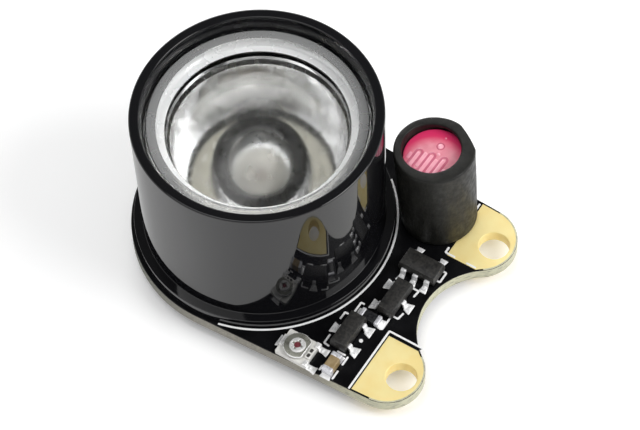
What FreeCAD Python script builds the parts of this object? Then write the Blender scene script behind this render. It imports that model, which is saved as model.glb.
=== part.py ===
import FreeCAD, Part
import math
import os

import Sketcher

os.makedirs("parts", exist_ok=True)
doc = FreeCAD.newDocument("infrared_illuminator")

# Frame: the origin is midway between the two mounting holes, on the board's underside.
# +X points away from the lens, +Y runs from the trimmer to the light sensor, +Z is up.

# Driving dimensions, in millimetres, with angles in degrees
SIZES = {
    "board_thick": 1.0,
    "hole_pitch": 12.5,
    "hole_radius": 1.1,
    "plating_thick": 0.05,
    "strip_width": 5.95,
    "board_end_margin": 0.25,
    "lobe_radius": 2.65,
    "lobe_setback": 1.15,
    "notch_reach": 3.35,
    "pad_margin": 0.12,
    "pad_setback": 2.47,
    "pad_inner_edge": 3.87,
    "holder_height": 12.95,
    "holder_wall": 0.79,
    "holder_flare": 0.16,
    "holder_rim_wall": 0.7,
    "flange_width": 0.66,
    "flange_thick": 0.8,
    "edge_break": 0.12,
    "lens_radius": 7.75,
    "lens_clearance": 0.1,
    "lens_depth": 1.0,
    "lens_rim_thick": 1.95,
    "seat_ledge": 0.62,
    "lens_ring_width": 0.75,
    "lens_step_drop": 0.8,
    "lens_step_width": 0.6,
    "bowl_drop": 1.1,
    "bowl_wall_width": 0.25,
    "dome_rise": 1.5,
    "cone_gap": 0.3,
    "cone_foot_wall": 1.2,
    "cavity_gap": 1.75,
    "lens_foot_gap": 0.35,
    "led_body_radius": 4.0,
    "led_body_height": 3.2,
    "led_body_lift": 0.1,
    "led_slug_radius": 3.0,
    "led_slug_height": 2.0,
    "led_die_side": 1.0,
    "led_die_thick": 0.2,
    "led_dome_radius": 2.7,
    "led_dome_height": 4.9,
    "led_lead_width": 1.4,
    "led_lead_thick": 0.3,
    "led_lead_clearance": 0.43,
    "led_lead_foot": 1.35,
    "led_lead_root": 0.6,
    "led_lead_level": 1.2,
    "sensor_bearing": 31.65,
    "sleeve_gap": 0.385,
    "sleeve_foot_radius": 2.72,
    "sleeve_top_radius": 2.88,
    "sleeve_length": 8.25,
    "sleeve_bore_radius": 2.28,
    "sleeve_lift": 0.14,
    "sleeve_lean": 2.2,
    "sleeve_lean_heading": 32.0,
    "sleeve_cut_slope": 4.0,
    "sensor_thick": 2.0,
    "sensor_recess": 0.75,
    "sensor_clearance": 0.05,
    "sensor_lead_pitch": 3.2,
    "sensor_lead_radius": 0.25,
    "sensor_lead_tail": 0.85,
    "sensor_lead_hole": 0.4,
    "tail_solder_radius": 0.62,
    "tail_solder_tip_radius": 0.28,
    "tail_solder_height": 0.6,
    "trimmer_bearing": -45.64,
    "trimmer_gap": 2.1,
    "trimmer_length": 2.5,
    "trimmer_width": 2.1,
    "trimmer_ceramic": 0.38,
    "trimmer_block_height": 0.12,
    "trimmer_block_length": 0.42,
    "trimmer_block_width": 0.95,
    "track_thick": 0.04,
    "track_inner_radius": 0.45,
    "track_outer_radius": 0.85,
    "track_gap": 80.0,
    "rotor_radius": 1.0,
    "rotor_flat": 0.74,
    "rotor_thick": 0.14,
    "rotor_lift": 0.18,
    "rotor_boss_radius": 0.58,
    "rotor_boss_top_radius": 0.54,
    "rotor_boss_height": 0.12,
    "rotor_slot_width": 0.22,
    "rotor_slot_length": 0.86,
    "rotor_recess_radius": 0.2,
    "rotor_recess_depth": 0.2,
    "wiper_radius": 0.1,
    "wiper_reach": 0.65,
    "wiper_gap": 0.01,
    "rotor_pin_radius": 0.25,
    "rotor_pin_clearance": 0.03,
    "rivet_radius": 0.4,
    "rivet_thick": 0.1,
    "rivet_clearance": 0.06,
    "terminal_thick": 0.1,
    "terminal_width": 0.45,
    "terminal_reach": 0.5,
    "terminal_lip": 0.25,
    "common_terminal_width": 0.9,
    "common_terminal_reach": 0.1,
    "chip_body_height": 1.0,
    "chip_body_lift": 0.08,
    "chip_draft": 8.0,
    "chip_lead_width": 0.4,
    "chip_lead_thick": 0.13,
    "chip_lead_level": 0.5,
    "chip_lead_foot": 0.4,
    "chip_lead_row": 1.9,
    "driver_length": 2.95,
    "driver_width": 1.6,
    "driver_span": 2.8,
    "driver_solder_width": 0.6,
    "transistor_length": 2.9,
    "transistor_width": 1.3,
    "transistor_span": 2.4,
    "transistor_solder_width": 0.9,
    "driver_chip_x": -3.3,
    "driver_chip_y": 1.85,
    "switch_transistor_x": -3.55,
    "switch_transistor_y": -1.3,
    "sense_transistor_x": -4.9,
    "sense_transistor_y": -5.3,
    "solder_length": 0.5,
    "solder_toe": 0.15,
    "solder_height": 0.26,
    "solder_top_length": 0.22,
    "solder_taper": 0.2,
    "end_part_length": 1.6,
    "end_part_width": 0.8,
    "cap_wrap": 0.03,
    "cap_edge": 0.06,
    "resistor_height": 0.45,
    "resistor_cap": 0.32,
    "resistor_x": -4.3,
    "resistor_y": -3.4,
    "capacitor_height": 0.8,
    "capacitor_cap": 0.36,
    "capacitor_reach": 2.77,
    "capacitor_y": -8.06,
}

FULL_TURN = 360
HALF_TURN = 180
QUARTER_TURN = 90

# Where a folded lead starts down, as a share of the way to its heel, and how far the outside
# of its fold lies beyond the inside, as a share of its thickness
FOLD_START = 0.35
FOLD_SPREAD = 0.8

# How far the sleeve's cutting profile reaches past the sleeve
CUT_MARGIN = 1.5

Vector = FreeCAD.Vector
Rotation = FreeCAD.Rotation
Placement = FreeCAD.Placement
UP = Vector(0, 0, 1)
ALONG_X = Vector(1, 0, 0)


class Size:
    """A number together with the spreadsheet formula that gives it."""

    def __init__(self, value, text):
        self.value = value
        self.text = text

    def __add__(self, other):
        other = as_size(other)
        return Size(self.value + other.value, f"({self.text} + {other.text})")

    def __sub__(self, other):
        other = as_size(other)
        return Size(self.value - other.value, f"({self.text} - {other.text})")

    def __mul__(self, other):
        other = as_size(other)
        return Size(self.value * other.value, f"({self.text} * {other.text})")

    def __truediv__(self, other):
        other = as_size(other)
        return Size(self.value / other.value, f"({self.text} / {other.text})")

    def __neg__(self):
        return Size(-self.value, f"(-1 * {self.text})")

    def root(self):
        return Size(math.sqrt(self.value), f"sqrt({self.text})")

    def sine(self):
        return Size(math.sin(math.radians(self.value)), f"sin({self.text} * 1 deg)")

    def cosine(self):
        return Size(math.cos(math.radians(self.value)), f"cos({self.text} * 1 deg)")

    def tangent(self):
        return self.sine() / self.cosine()


def as_size(number):
    if isinstance(number, Size):
        return number
    return Size(number, repr(number))


def size(alias):
    return Size(SIZES[alias], f"Sizes.{alias}")


def make_sheet():
    sheet = doc.addObject("Spreadsheet::Sheet", "Sizes")
    for row, (alias, number) in enumerate(SIZES.items(), 1):
        sheet.set(f"A{row}", alias)
        sheet.set(f"B{row}", str(number))
        sheet.setAlias(f"B{row}", alias)
    doc.recompute()


# Short ways to draw and build, each with its sizes bound to the sheet

def bind(thing, prop, amount):
    thing.setExpression(prop, as_size(amount).text)


def place(thing, x=0, y=0, z=0, angle=0):
    """Put a sub-part in the frame. angle is a plain turn about Z."""
    spot = [as_size(part) for part in (x, y, z)]
    thing.Placement = Placement(Vector(*[part.value for part in spot]), Rotation(UP, angle))
    for name, part in zip("xyz", spot):
        bind(thing, f".Placement.Base.{name}", part)
    return thing


def new_body(label):
    body = doc.addObject("PartDesign::Body", label)
    body.Label = label
    return body


def origin_item(body, role):
    return next(item for item in body.Origin.OriginFeatures if item.Role == role)


def new_sketch(body, role, name, offset=0):
    sketch = body.newObject("Sketcher::SketchObject", name)
    sketch.AttachmentSupport = [(origin_item(body, role), "")]
    sketch.MapMode = "FlatFace"
    bind(sketch, ".AttachmentOffset.Base.z", offset)
    return sketch


def drive(sketch, constraint, amount):
    """Add a constraint and bind its value to the sheet."""
    index = sketch.addConstraint(constraint)
    name = f"size_{index}"
    sketch.renameConstraint(index, name)
    bind(sketch, f"Constraints.{name}", amount)


def pin_point(sketch, geo, end, x, y):
    """Hold one point of the sketch at x, y. A plain zero puts it on the axis."""
    for kind, part, axis in (("DistanceX", x, -2), ("DistanceY", y, -1)):
        if isinstance(part, Size):
            drive(sketch, Sketcher.Constraint(kind, -1, 1, geo, end, part.value), part)
        else:
            sketch.addConstraint(Sketcher.Constraint("PointOnObject", geo, end, axis))


def arc_between(start, end, radius, long_way):
    """An arc from start to end. A positive radius turns left, a negative one right."""
    chord = end - start
    half = chord.Length / 2
    reach = math.sqrt(max(radius * radius - half * half, 0))
    side = 1 if (radius > 0) != long_way else -1
    left = Vector(-chord.y, chord.x, 0).normalize()
    center = start + chord * 0.5 + left * (side * reach)
    first, last = (start, end) if radius > 0 else (end, start)
    angles = [math.atan2(spot.y - center.y, spot.x - center.x) for spot in (first, last)]
    if angles[1] < angles[0]:
        angles[1] += 2 * math.pi
    return Part.ArcOfCircle(Part.Circle(center, UP, abs(radius)), angles[0], angles[1])


def draw_outline(sketch, points, arcs=None, long_arcs=()):
    """A closed outline through points. arcs gives the radius of each side that is an arc."""
    arcs = {side: as_size(radius) for side, radius in (arcs or {}).items()}
    spots = [Vector(as_size(x).value, as_size(y).value, 0) for x, y in points]
    ends = []
    for side, start in enumerate(spots):
        end = spots[(side + 1) % len(spots)]
        if side in arcs:
            sketch.addGeometry(arc_between(start, end, arcs[side].value, side in long_arcs))
        else:
            sketch.addGeometry(Part.LineSegment(start, end))
        backward = side in arcs and arcs[side].value < 0
        ends.append((2, 1) if backward else (1, 2))
    for side, (x, y) in enumerate(points):
        before = (side - 1) % len(points)
        join = Sketcher.Constraint("Coincident", before, ends[before][1], side, ends[side][0])
        sketch.addConstraint(join)
        pin_point(sketch, side, ends[side][0], x, y)
    for side, radius in arcs.items():
        length = radius if radius.value > 0 else -radius
        drive(sketch, Sketcher.Constraint("Radius", side, length.value), length)
    return sketch


def draw_circle(sketch, x, y, radius):
    spot = Vector(as_size(x).value, as_size(y).value, 0)
    geo = sketch.addGeometry(Part.Circle(spot, UP, radius.value))
    pin_point(sketch, geo, 3, x, y)
    drive(sketch, Sketcher.Constraint("Radius", geo, radius.value), radius)
    return sketch


def draw_box(sketch, half_x, half_y, x=0, y=0):
    """A rectangle about x, y with the given half sizes."""
    x, y = as_size(x), as_size(y)
    corners = [(x - half_x, y - half_y), (x + half_x, y - half_y)]
    corners += [(x + half_x, y + half_y), (x - half_x, y + half_y)]
    return draw_outline(sketch, corners)


def pad(body, sketch, name, length, symmetric=False, taper=None, down=False):
    feature = body.newObject("PartDesign::Pad", name)
    feature.Profile = sketch
    feature.SideType = "Symmetric" if symmetric else "One side"
    feature.Reversed = down
    bind(feature, "Length", length)
    if taper is not None:
        bind(feature, "TaperAngle", taper)
    return feature


def pocket(body, sketch, name, depth, upward=False):
    feature = body.newObject("PartDesign::Pocket", name)
    feature.Profile = sketch
    feature.Reversed = upward
    bind(feature, "Length", depth)
    return feature


def revolve(body, name, points, arcs=None):
    """Turn a section, given as radius and height, about the body's Z axis."""
    sketch = draw_outline(new_sketch(body, "XZ_Plane", f"{name}_section"), points, arcs)
    feature = body.newObject("PartDesign::Revolution", name)
    feature.Profile = sketch
    feature.ReferenceAxis = (sketch, ["V_Axis"])
    feature.Angle = FULL_TURN
    return feature


def repeat(body, feature, name, row, count):
    """Repeat a feature along Y so that the last one stands one row's length from the first."""
    pattern = body.newObject("PartDesign::LinearPattern", name)
    pattern.Originals = [feature]
    pattern.Direction = (origin_item(body, "Y_Axis"), [""])
    bind(pattern, "Length", row)
    pattern.Occurrences = count
    body.Tip = pattern


def group(label, members):
    holder = doc.addObject("Part::Compound", label)
    holder.Links = members
    return holder


def cut(label, base, tool):
    result = doc.addObject("Part::Cut", label)
    result.Label = label
    result.Base = base
    result.Tool = tool
    return result


# Where things stand. The holder's wall closes round the lens, the board's end closes round the
# holder, and the tall parts beside the holder keep their distance from its flange.

def holder_foot_radius():
    return size("lens_radius") + size("lens_clearance") + size("holder_wall")


def flange_radius():
    return holder_foot_radius() + size("flange_width")


def board_end_radius():
    return flange_radius() + size("board_end_margin")


def lens_reach():
    """How far the lens axis stands from the line through the mounting holes."""
    return flange_radius() + size("strip_width")


def beside_flange(distance, bearing):
    """A spot at a distance from the flange's edge, at a bearing about the lens axis."""
    reach = flange_radius() + distance
    return reach * bearing.cosine() - lens_reach(), reach * bearing.sine()


def sensor_spot():
    return beside_flange(size("sleeve_foot_radius") + size("sleeve_gap"), size("sensor_bearing"))


def trimmer_spot():
    return beside_flange(size("trimmer_gap"), size("trimmer_bearing"))


def chip_spot(name):
    """The middle of a chip or an end-capped part. The capacitor stands off the trimmer."""
    if name == "capacitor":
        return trimmer_spot()[0] + size("capacitor_reach"), size("capacitor_y")
    return size(f"{name}_x"), size(f"{name}_y")


# Circuit board. Its outline is a round end about the lens axis, two straight sides and two
# lobes by the holes, joined by a round notch. Every arc runs smoothly into its neighbours.

def span_between(first, second):
    dx = second[0] - first[0]
    dy = second[1] - first[1]
    return (dx * dx + dy * dy).root()


def outline_centers():
    end = (-lens_reach(), as_size(0.0))
    lobe = (-size("lobe_setback"), -size("hole_pitch") / 2)
    notch = (size("notch_reach"), as_size(0.0))
    return end, lobe, notch


def side_normal():
    """The outward direction of the straight side that touches the round end and the lobe."""
    end, lobe, _ = outline_centers()
    span = span_between(end, lobe)
    dx = (lobe[0] - end[0]) / span
    dy = (lobe[1] - end[1]) / span
    share = (board_end_radius() - size("lobe_radius")) / span
    rest = (as_size(1.0) - share * share).root()
    return dx * share + dy * rest, dy * share - dx * rest


def tangent_points(inset):
    """Where the side leaves the round end, where it meets the lobe, and lobe meets notch."""
    end, lobe, notch = outline_centers()
    out_x, out_y = side_normal()
    end_radius = board_end_radius() - inset
    lobe_radius = size("lobe_radius") - inset
    share = lobe_radius / span_between(lobe, notch)
    first = (end[0] + out_x * end_radius, end[1] + out_y * end_radius)
    second = (lobe[0] + out_x * lobe_radius, lobe[1] + out_y * lobe_radius)
    third = (lobe[0] + (notch[0] - lobe[0]) * share, lobe[1] + (notch[1] - lobe[1]) * share)
    return first, second, third


def notch_radius():
    _, lobe, notch = outline_centers()
    return span_between(lobe, notch) - size("lobe_radius")


def mirrored(point):
    return point[0], -point[1]


def draw_board(sketch):
    first, second, third = tangent_points(as_size(0.0))
    points = [first, second, third, mirrored(third), mirrored(second), mirrored(first)]
    lobe = size("lobe_radius")
    arcs = {1: lobe, 2: -notch_radius(), 3: lobe, 5: board_end_radius()}
    return draw_outline(sketch, points, arcs, long_arcs=(5,))


def draw_contact(sketch, side):
    """A contact pad's outline, just inside the board's edge. side is -1 or 1 along Y."""
    margin = size("pad_margin")
    _, lobe_point, notch_point = tangent_points(margin)
    _, _, notch = outline_centers()
    out_x, out_y = side_normal()
    edge_x = -size("pad_setback")
    inner_y = -size("pad_inner_edge")
    corner_y = lobe_point[1] + (lobe_point[0] - edge_x) * out_x / out_y
    notch_arc = notch_radius() + margin
    tip_x = notch[0] - (notch_arc * notch_arc - inner_y * inner_y).root()
    points = [(edge_x, corner_y), lobe_point, notch_point, (tip_x, inner_y), (edge_x, inner_y)]
    lobe_arc = size("lobe_radius") - margin
    if side < 0:
        return draw_outline(sketch, points, {1: lobe_arc, 2: -notch_arc})
    flipped = [mirrored(point) for point in points]
    return draw_outline(sketch, flipped, {1: -lobe_arc, 2: notch_arc})


def hole_spot(side):
    return 0, size("hole_pitch") / 2 * side


def lead_spot(side):
    """Where a light sensor lead passes the board. side is -1 or 1 along Y."""
    x, y = sensor_spot()
    return x, y + size("sensor_lead_pitch") / 2 * side


def make_board():
    body = new_body("circuit_board")
    thick = size("board_thick")
    plating = size("plating_thick")
    pad(body, draw_board(new_sketch(body, "XY_Plane", "board_outline")), "board_plate", thick)
    for name, level, upward in (("top", thick, False), ("under", 0, True)):
        for side in (-1, 1):
            recess = draw_contact(new_sketch(body, "XY_Plane", f"{name}_recess_outline", level), side)
            pocket(body, recess, f"{name}_pad_recess", plating, upward)
    holes = new_sketch(body, "XY_Plane", "hole_outlines", thick)
    for side in (-1, 1):
        draw_circle(holes, *hole_spot(side), size("hole_radius") + plating)
        draw_circle(holes, *lead_spot(side), size("sensor_lead_hole"))
    pocket(body, holes, "board_holes", thick)
    return body


def make_contact_pad(label, side):
    """Gold plate on both faces of the board, joined through the screw hole."""
    body = new_body(label)
    thick = size("board_thick")
    plating = size("plating_thick")
    under = draw_contact(new_sketch(body, "XY_Plane", "under_outline"), side)
    pad(body, under, "under_plate", plating)
    barrel = new_sketch(body, "XY_Plane", "barrel_outline")
    draw_circle(barrel, *hole_spot(side), size("hole_radius") + plating)
    pad(body, barrel, "barrel", thick)
    top = draw_contact(new_sketch(body, "XY_Plane", "top_outline", thick), side)
    pad(body, top, "top_plate", plating, down=True)
    bore = new_sketch(body, "XY_Plane", "bore_outline", thick)
    draw_circle(bore, *hole_spot(side), size("hole_radius"))
    pocket(body, bore, "bore", thick)
    return body


# Lens holder and lens. Radii are about the lens axis and heights above the board's top face.

def on_lens_axis(thing, angle=0):
    return place(thing, -lens_reach(), 0, size("board_thick"), angle)


def lens_top():
    return size("holder_height") - size("lens_depth")


def seat_level():
    return lens_top() - size("lens_rim_thick")


def seat_radius():
    return size("lens_radius") - size("seat_ledge")


def cap_radius(reach, rise):
    """The radius of a round cap that rises over a half width of reach."""
    return (reach * reach + rise * rise) / (rise * 2)


def make_holder():
    """A tube with a foot flange, a step that the lens sits on and a wall that opens upward."""
    body = new_body("lens_holder")
    edge = size("edge_break")
    foot = holder_foot_radius()
    rim = foot + size("holder_flare")
    high = size("holder_height")
    flange = flange_radius()
    shelf = size("flange_thick")
    nest = size("lens_radius") + size("lens_clearance")
    points = [
        (seat_radius(), 0),
        (flange, 0),
        (flange, shelf),
        (foot, shelf),
        (rim, high - edge),
        (rim - edge, high),
        (rim - size("holder_rim_wall"), high),
        (nest, lens_top()),
        (nest, seat_level()),
        (seat_radius(), seat_level()),
    ]
    revolve(body, "holder_turned", points)
    return on_lens_axis(body)


def make_lens():
    """Clear collimator: flat rim, stepped bowl with a dome, and a hollow cone over the LED."""
    body = new_body("lens")
    rim = size("lens_radius")
    ring = rim - size("lens_ring_width")
    step = lens_top() - size("lens_step_drop")
    step_radius = ring - size("lens_step_width")
    floor = step - size("bowl_drop")
    bowl = step_radius - size("bowl_wall_width")
    rise = size("dome_rise")
    foot = size("led_body_height") + size("lens_foot_gap")
    cavity = size("led_dome_radius") + size("cone_gap")
    roof = size("led_dome_height") + size("cavity_gap")
    points = [
        (0, roof),
        (cavity, roof),
        (cavity, foot),
        (cavity + size("cone_foot_wall"), foot),
        (seat_radius() - size("cone_gap"), seat_level()),
        (rim, seat_level()),
        (rim, lens_top()),
        (ring, lens_top()),
        (ring, step),
        (step_radius, step),
        (bowl, floor),
        (0, floor + rise),
    ]
    revolve(body, "lens_turned", points, {10: cap_radius(bowl, rise)})
    return on_lens_axis(body)


# High-power LED under the lens

def make_led_slug():
    """Metal slug that carries the die's heat to the board."""
    body = new_body("led_slug")
    wide = size("led_slug_radius")
    high = size("led_slug_height")
    revolve(body, "slug_turned", [(0, 0), (wide, 0), (wide, high), (0, high)])
    return on_lens_axis(body)


def make_led_body():
    """Moulded ring with a lip over the slug, open at the top for the clear dome."""
    body = new_body("led_body")
    wide = size("led_body_radius")
    high = size("led_body_height")
    lift = size("led_body_lift")
    slug = size("led_slug_radius")
    opening = size("led_dome_radius")
    lip = size("led_slug_height")
    points = [(slug, lift), (wide, lift), (wide, high), (opening, high), (opening, lip), (slug, lip)]
    revolve(body, "ring_turned", points)
    return on_lens_axis(body)


def draw_die(body):
    half = size("led_die_side") / 2
    return draw_box(new_sketch(body, "XY_Plane", "die_outline", size("led_slug_height")), half, half)


def make_led_dome():
    """Clear silicone that covers the die, fills the body's opening and ends in a dome."""
    body = new_body("led_dome")
    wide = size("led_dome_radius")
    floor = size("led_slug_height")
    shoulder = size("led_body_height")
    high = size("led_dome_height")
    points = [(0, floor), (wide, floor), (wide, shoulder), (0, high)]
    revolve(body, "dome_turned", points, {2: cap_radius(wide, high - shoulder)})
    pocket(body, draw_die(body), "die_room", size("led_die_thick"), upward=True)
    return on_lens_axis(body)


def make_led_die():
    body = new_body("led_die")
    pad(body, draw_die(body), "die_block", size("led_die_thick"))
    return on_lens_axis(body)


def folded_lead(root, heel, tip, level, thick):
    """A lead's side view: out of the body at its root, down to its heel, out to its tip."""
    half = thick / 2
    fold = root + (heel - root) * FOLD_START
    spread = thick * FOLD_SPREAD
    return [
        (root, level - half),
        (fold, level - half),
        (heel, 0),
        (tip, 0),
        (tip, thick),
        (heel + spread, thick),
        (fold + spread, level + half),
        (root, level + half),
    ]


def add_strips(body, name, profile, side, width, count=1, row=0):
    """Strips of one profile on the body's +X or -X side, spread over a row along Y."""
    first = as_size(row) / 2
    sketch = new_sketch(body, "XZ_Plane", f"{name}_profile", first)
    draw_outline(sketch, [(x * side, z) for x, z in profile])
    strip = pad(body, sketch, f"{name}_strip", width, symmetric=True)
    if count > 1:
        repeat(body, strip, f"{name}_row", row, count)


def led_lead_reach():
    return seat_radius() - size("led_lead_clearance")


def make_led_leads():
    """Two flat leads along Y, trimmed to the round side of the LED's body."""
    body = new_body("led_lead_strips")
    tip = led_lead_reach()
    root = size("led_body_radius") - size("led_lead_root")
    heel = tip - size("led_lead_foot")
    profile = folded_lead(root, heel, tip, size("led_lead_level"), size("led_lead_thick"))
    for name, side in (("plus", 1), ("minus", -1)):
        add_strips(body, name, profile, side, size("led_lead_width"))
    on_lens_axis(body, QUARTER_TURN)
    trim = on_lens_axis(doc.addObject("Part::Cylinder", "led_lead_trim"))
    bind(trim, "Radius", size("led_body_radius"))
    bind(trim, "Height", size("led_body_height"))
    return cut("led_leads", body, trim)


# Light sensor on two leads, in a black sleeve that leans a little toward the lens

def on_sensor_axis(thing):
    """Place and lean a sub-part of the sensor. Its own Z runs up the sleeve."""
    place(thing, *sensor_spot(), size("board_thick") + size("sleeve_lift"))
    heading = size("sleeve_lean_heading")
    lean = size("sleeve_lean")
    hinge = (heading.sine(), -heading.cosine())
    turn = Rotation(Vector(hinge[0].value, hinge[1].value, 0), lean.value)
    thing.Placement = Placement(thing.Placement.Base, turn)
    bind(thing, ".Placement.Rotation.Axis.x", hinge[0])
    bind(thing, ".Placement.Rotation.Axis.y", hinge[1])
    bind(thing, ".Placement.Rotation.Angle", lean)
    return thing


def sleeve_radius(height):
    """The sleeve's outer radius at a height above its foot."""
    flare = (size("sleeve_top_radius") - size("sleeve_foot_radius")) / size("sleeve_length")
    return size("sleeve_foot_radius") + flare * height


def disc_underside():
    return size("sleeve_length") - size("sensor_recess") - size("sensor_thick")


def make_sleeve():
    """A tube with a straight bore, a little thicker at its top, where it is cut on a slant."""
    body = new_body("sensor_sleeve")
    bore = size("sleeve_bore_radius")
    slope = size("sleeve_cut_slope").tangent()
    level = size("sleeve_length")
    high = level + size("sleeve_top_radius") * slope
    top = sleeve_radius(high)
    section = [(bore, 0), (size("sleeve_foot_radius"), 0), (top, high), (bore, high)]
    revolve(body, "sleeve_turned", section)
    reach = top * CUT_MARGIN
    knife = new_sketch(body, "YZ_Plane", "cut_outline")
    corners = [(-reach, level + reach * slope), (reach, level - reach * slope)]
    corners += [(reach, high + reach), (-reach, high + reach)]
    slant = pocket(body, draw_outline(knife, corners), "slanted_cut", reach * 2)
    slant.SideType = "Symmetric"
    return on_sensor_axis(body)


def make_sensor_disc():
    body = new_body("sensor_disc")
    edge = size("edge_break")
    wide = size("sleeve_bore_radius") - size("sensor_clearance")
    base = disc_underside()
    top = base + size("sensor_thick")
    points = [(0, base), (wide, base), (wide, top - edge), (wide - edge, top), (0, top)]
    revolve(body, "disc_turned", points)
    return on_sensor_axis(body)


def make_sensor_leads():
    """Two wires from the disc down through the board."""
    body = new_body("sensor_leads")
    tail_end = -(size("sleeve_lift") + size("board_thick") + size("sensor_lead_tail"))
    sketch = new_sketch(body, "XY_Plane", "lead_outlines", tail_end)
    for side in (-1, 1):
        draw_circle(sketch, 0, size("sensor_lead_pitch") / 2 * side, size("sensor_lead_radius"))
    pad(body, sketch, "lead_wires", disc_underside() - tail_end)
    return on_sensor_axis(body)


def make_sensor_solder(leads):
    """Solder cones round the sensor's leads on the underside, cut to fit the leads."""
    cones = []
    for side in (-1, 1):
        cone = doc.addObject("Part::Cone", "solder_cone")
        bind(cone, "Radius1", size("tail_solder_tip_radius"))
        bind(cone, "Radius2", size("tail_solder_radius"))
        bind(cone, "Height", size("tail_solder_height"))
        cones.append(place(cone, *lead_spot(side), -size("tail_solder_height")))
    return cut("sensor_solder", group("solder_cones", cones), leads)


# Trimmer: ceramic plate, resistive track, three terminals and a rotor that turns on its pin

def on_trimmer(thing):
    return place(thing, *trimmer_spot(), size("board_thick"))


def rotor_underside():
    return size("trimmer_ceramic") + size("rotor_lift")


def make_trimmer_base():
    body = new_body("trimmer_base")
    half = size("trimmer_length") / 2
    top = size("trimmer_ceramic")
    plate = new_sketch(body, "XY_Plane", "plate_outline")
    pad(body, draw_box(plate, half, size("trimmer_width") / 2), "plate", top)
    block_half = size("trimmer_block_length") / 2
    block = new_sketch(body, "XY_Plane", "block_outline", top)
    draw_box(block, block_half, size("trimmer_block_width") / 2, half - block_half)
    pad(body, block, "stop_block", size("trimmer_block_height"))
    bore = new_sketch(body, "XY_Plane", "pin_bore_outline", top)
    draw_circle(bore, 0, 0, size("rotor_pin_radius") + size("rotor_pin_clearance"))
    pocket(body, bore, "pin_bore", top)
    room = new_sketch(body, "XY_Plane", "rivet_room_outline")
    draw_circle(room, 0, 0, size("rivet_radius") + size("rivet_clearance"))
    depth = size("rivet_thick") + size("rivet_clearance") * 2
    pocket(body, room, "rivet_room", depth, upward=True)
    return on_trimmer(body)


def make_trimmer_track():
    """The resistive film, a ring with a gap between its two ends."""
    body = new_body("trimmer_track")
    inner = size("track_inner_radius")
    outer = size("track_outer_radius")
    half = size("track_gap") / 2
    x, y = half.cosine(), half.sine()
    points = [(inner * x, inner * y), (outer * x, outer * y)]
    points += [(outer * x, -outer * y), (inner * x, -inner * y)]
    sketch = new_sketch(body, "XY_Plane", "track_outline", size("trimmer_ceramic"))
    draw_outline(sketch, points, {1: outer, 3: -inner}, long_arcs=(1, 3))
    pad(body, sketch, "track_film", size("track_thick"))
    return on_trimmer(body)


def terminal_strip(foot):
    """A terminal's side view: a lip on the plate, down its end, and a foot on the board."""
    half = size("trimmer_length") / 2
    top = size("trimmer_ceramic")
    thick = size("terminal_thick")
    lip = half - size("terminal_lip")
    return [
        (lip, top),
        (half, top),
        (half, 0),
        (half + thick + foot, 0),
        (half + thick + foot, thick),
        (half + thick, thick),
        (half + thick, top + thick),
        (lip, top + thick),
    ]


def make_trimmer_terminals():
    """One wide strip for the rotor and two at the ends of the track."""
    body = new_body("trimmer_terminals")
    common = terminal_strip(size("common_terminal_reach"))
    add_strips(body, "common", common, -1, size("common_terminal_width"))
    row = size("trimmer_width") - size("terminal_width")
    end = terminal_strip(size("terminal_reach"))
    add_strips(body, "track_end", end, 1, size("terminal_width"), 2, row)
    return on_trimmer(body)


def make_rotor():
    """The turning disc: flat on one side, a cross slot on top, a wiper and a riveted pin below."""
    body = new_body("trimmer_rotor")
    radius = size("rotor_radius")
    flat = size("rotor_flat")
    chord = (radius * radius - flat * flat).root()
    low = rotor_underside()
    face = low + size("rotor_thick")
    top = face + size("rotor_boss_height")
    disc = new_sketch(body, "XY_Plane", "disc_outline", low)
    draw_outline(disc, [(flat, chord), (flat, -chord)], {0: radius}, long_arcs=(0,))
    pad(body, disc, "disc", size("rotor_thick"))

    boss = size("rotor_boss_radius")
    revolve(body, "boss", [(0, face), (boss, face), (size("rotor_boss_top_radius"), top), (0, top)])
    pin = size("rotor_pin_radius")
    rivet = size("rivet_radius")
    rivet_low = size("rivet_clearance")
    rivet_top = rivet_low + size("rivet_thick")
    pin_section = [(0, rivet_low), (rivet, rivet_low), (rivet, rivet_top)]
    pin_section += [(pin, rivet_top), (pin, low), (0, low)]
    revolve(body, "riveted_pin", pin_section)
    wiper = new_sketch(body, "XY_Plane", "wiper_outline", low)
    draw_circle(wiper, -size("wiper_reach"), 0, size("wiper_radius"))
    wiper_length = size("rotor_lift") - size("track_thick") - size("wiper_gap")
    pad(body, wiper, "wiper", wiper_length, down=True)

    half_long = size("rotor_slot_length") / 2
    half_wide = size("rotor_slot_width") / 2
    for name, half_x, half_y in (("slot", half_long, half_wide), ("cross_slot", half_wide, half_long)):
        slot = draw_box(new_sketch(body, "XY_Plane", f"{name}_outline", top), half_x, half_y)
        pocket(body, slot, name, size("rotor_boss_height"))
    recess = new_sketch(body, "XY_Plane", "recess_outline", top)
    draw_circle(recess, 0, 0, size("rotor_recess_radius"))
    pocket(body, recess, "centre_recess", size("rotor_recess_depth"))
    return on_trimmer(body)


# Surface-mounted chips, end-capped parts and the solder at their feet

CHIPS = (
    # name, package, turn, leads on its +X side, leads on its -X side
    ("driver_chip", "driver", -QUARTER_TURN, 3, 2),
    ("switch_transistor", "transistor", 0, 1, 2),
    ("sense_transistor", "transistor", 0, 2, 1),
)

END_PARTS = (("resistor", 0), ("capacitor", QUARTER_TURN))


def on_board(thing, name, turn):
    return place(thing, *chip_spot(name), size("board_thick"), turn)


def lead_row(count):
    return size("chip_lead_row") if count > 1 else as_size(0.0)


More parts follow.
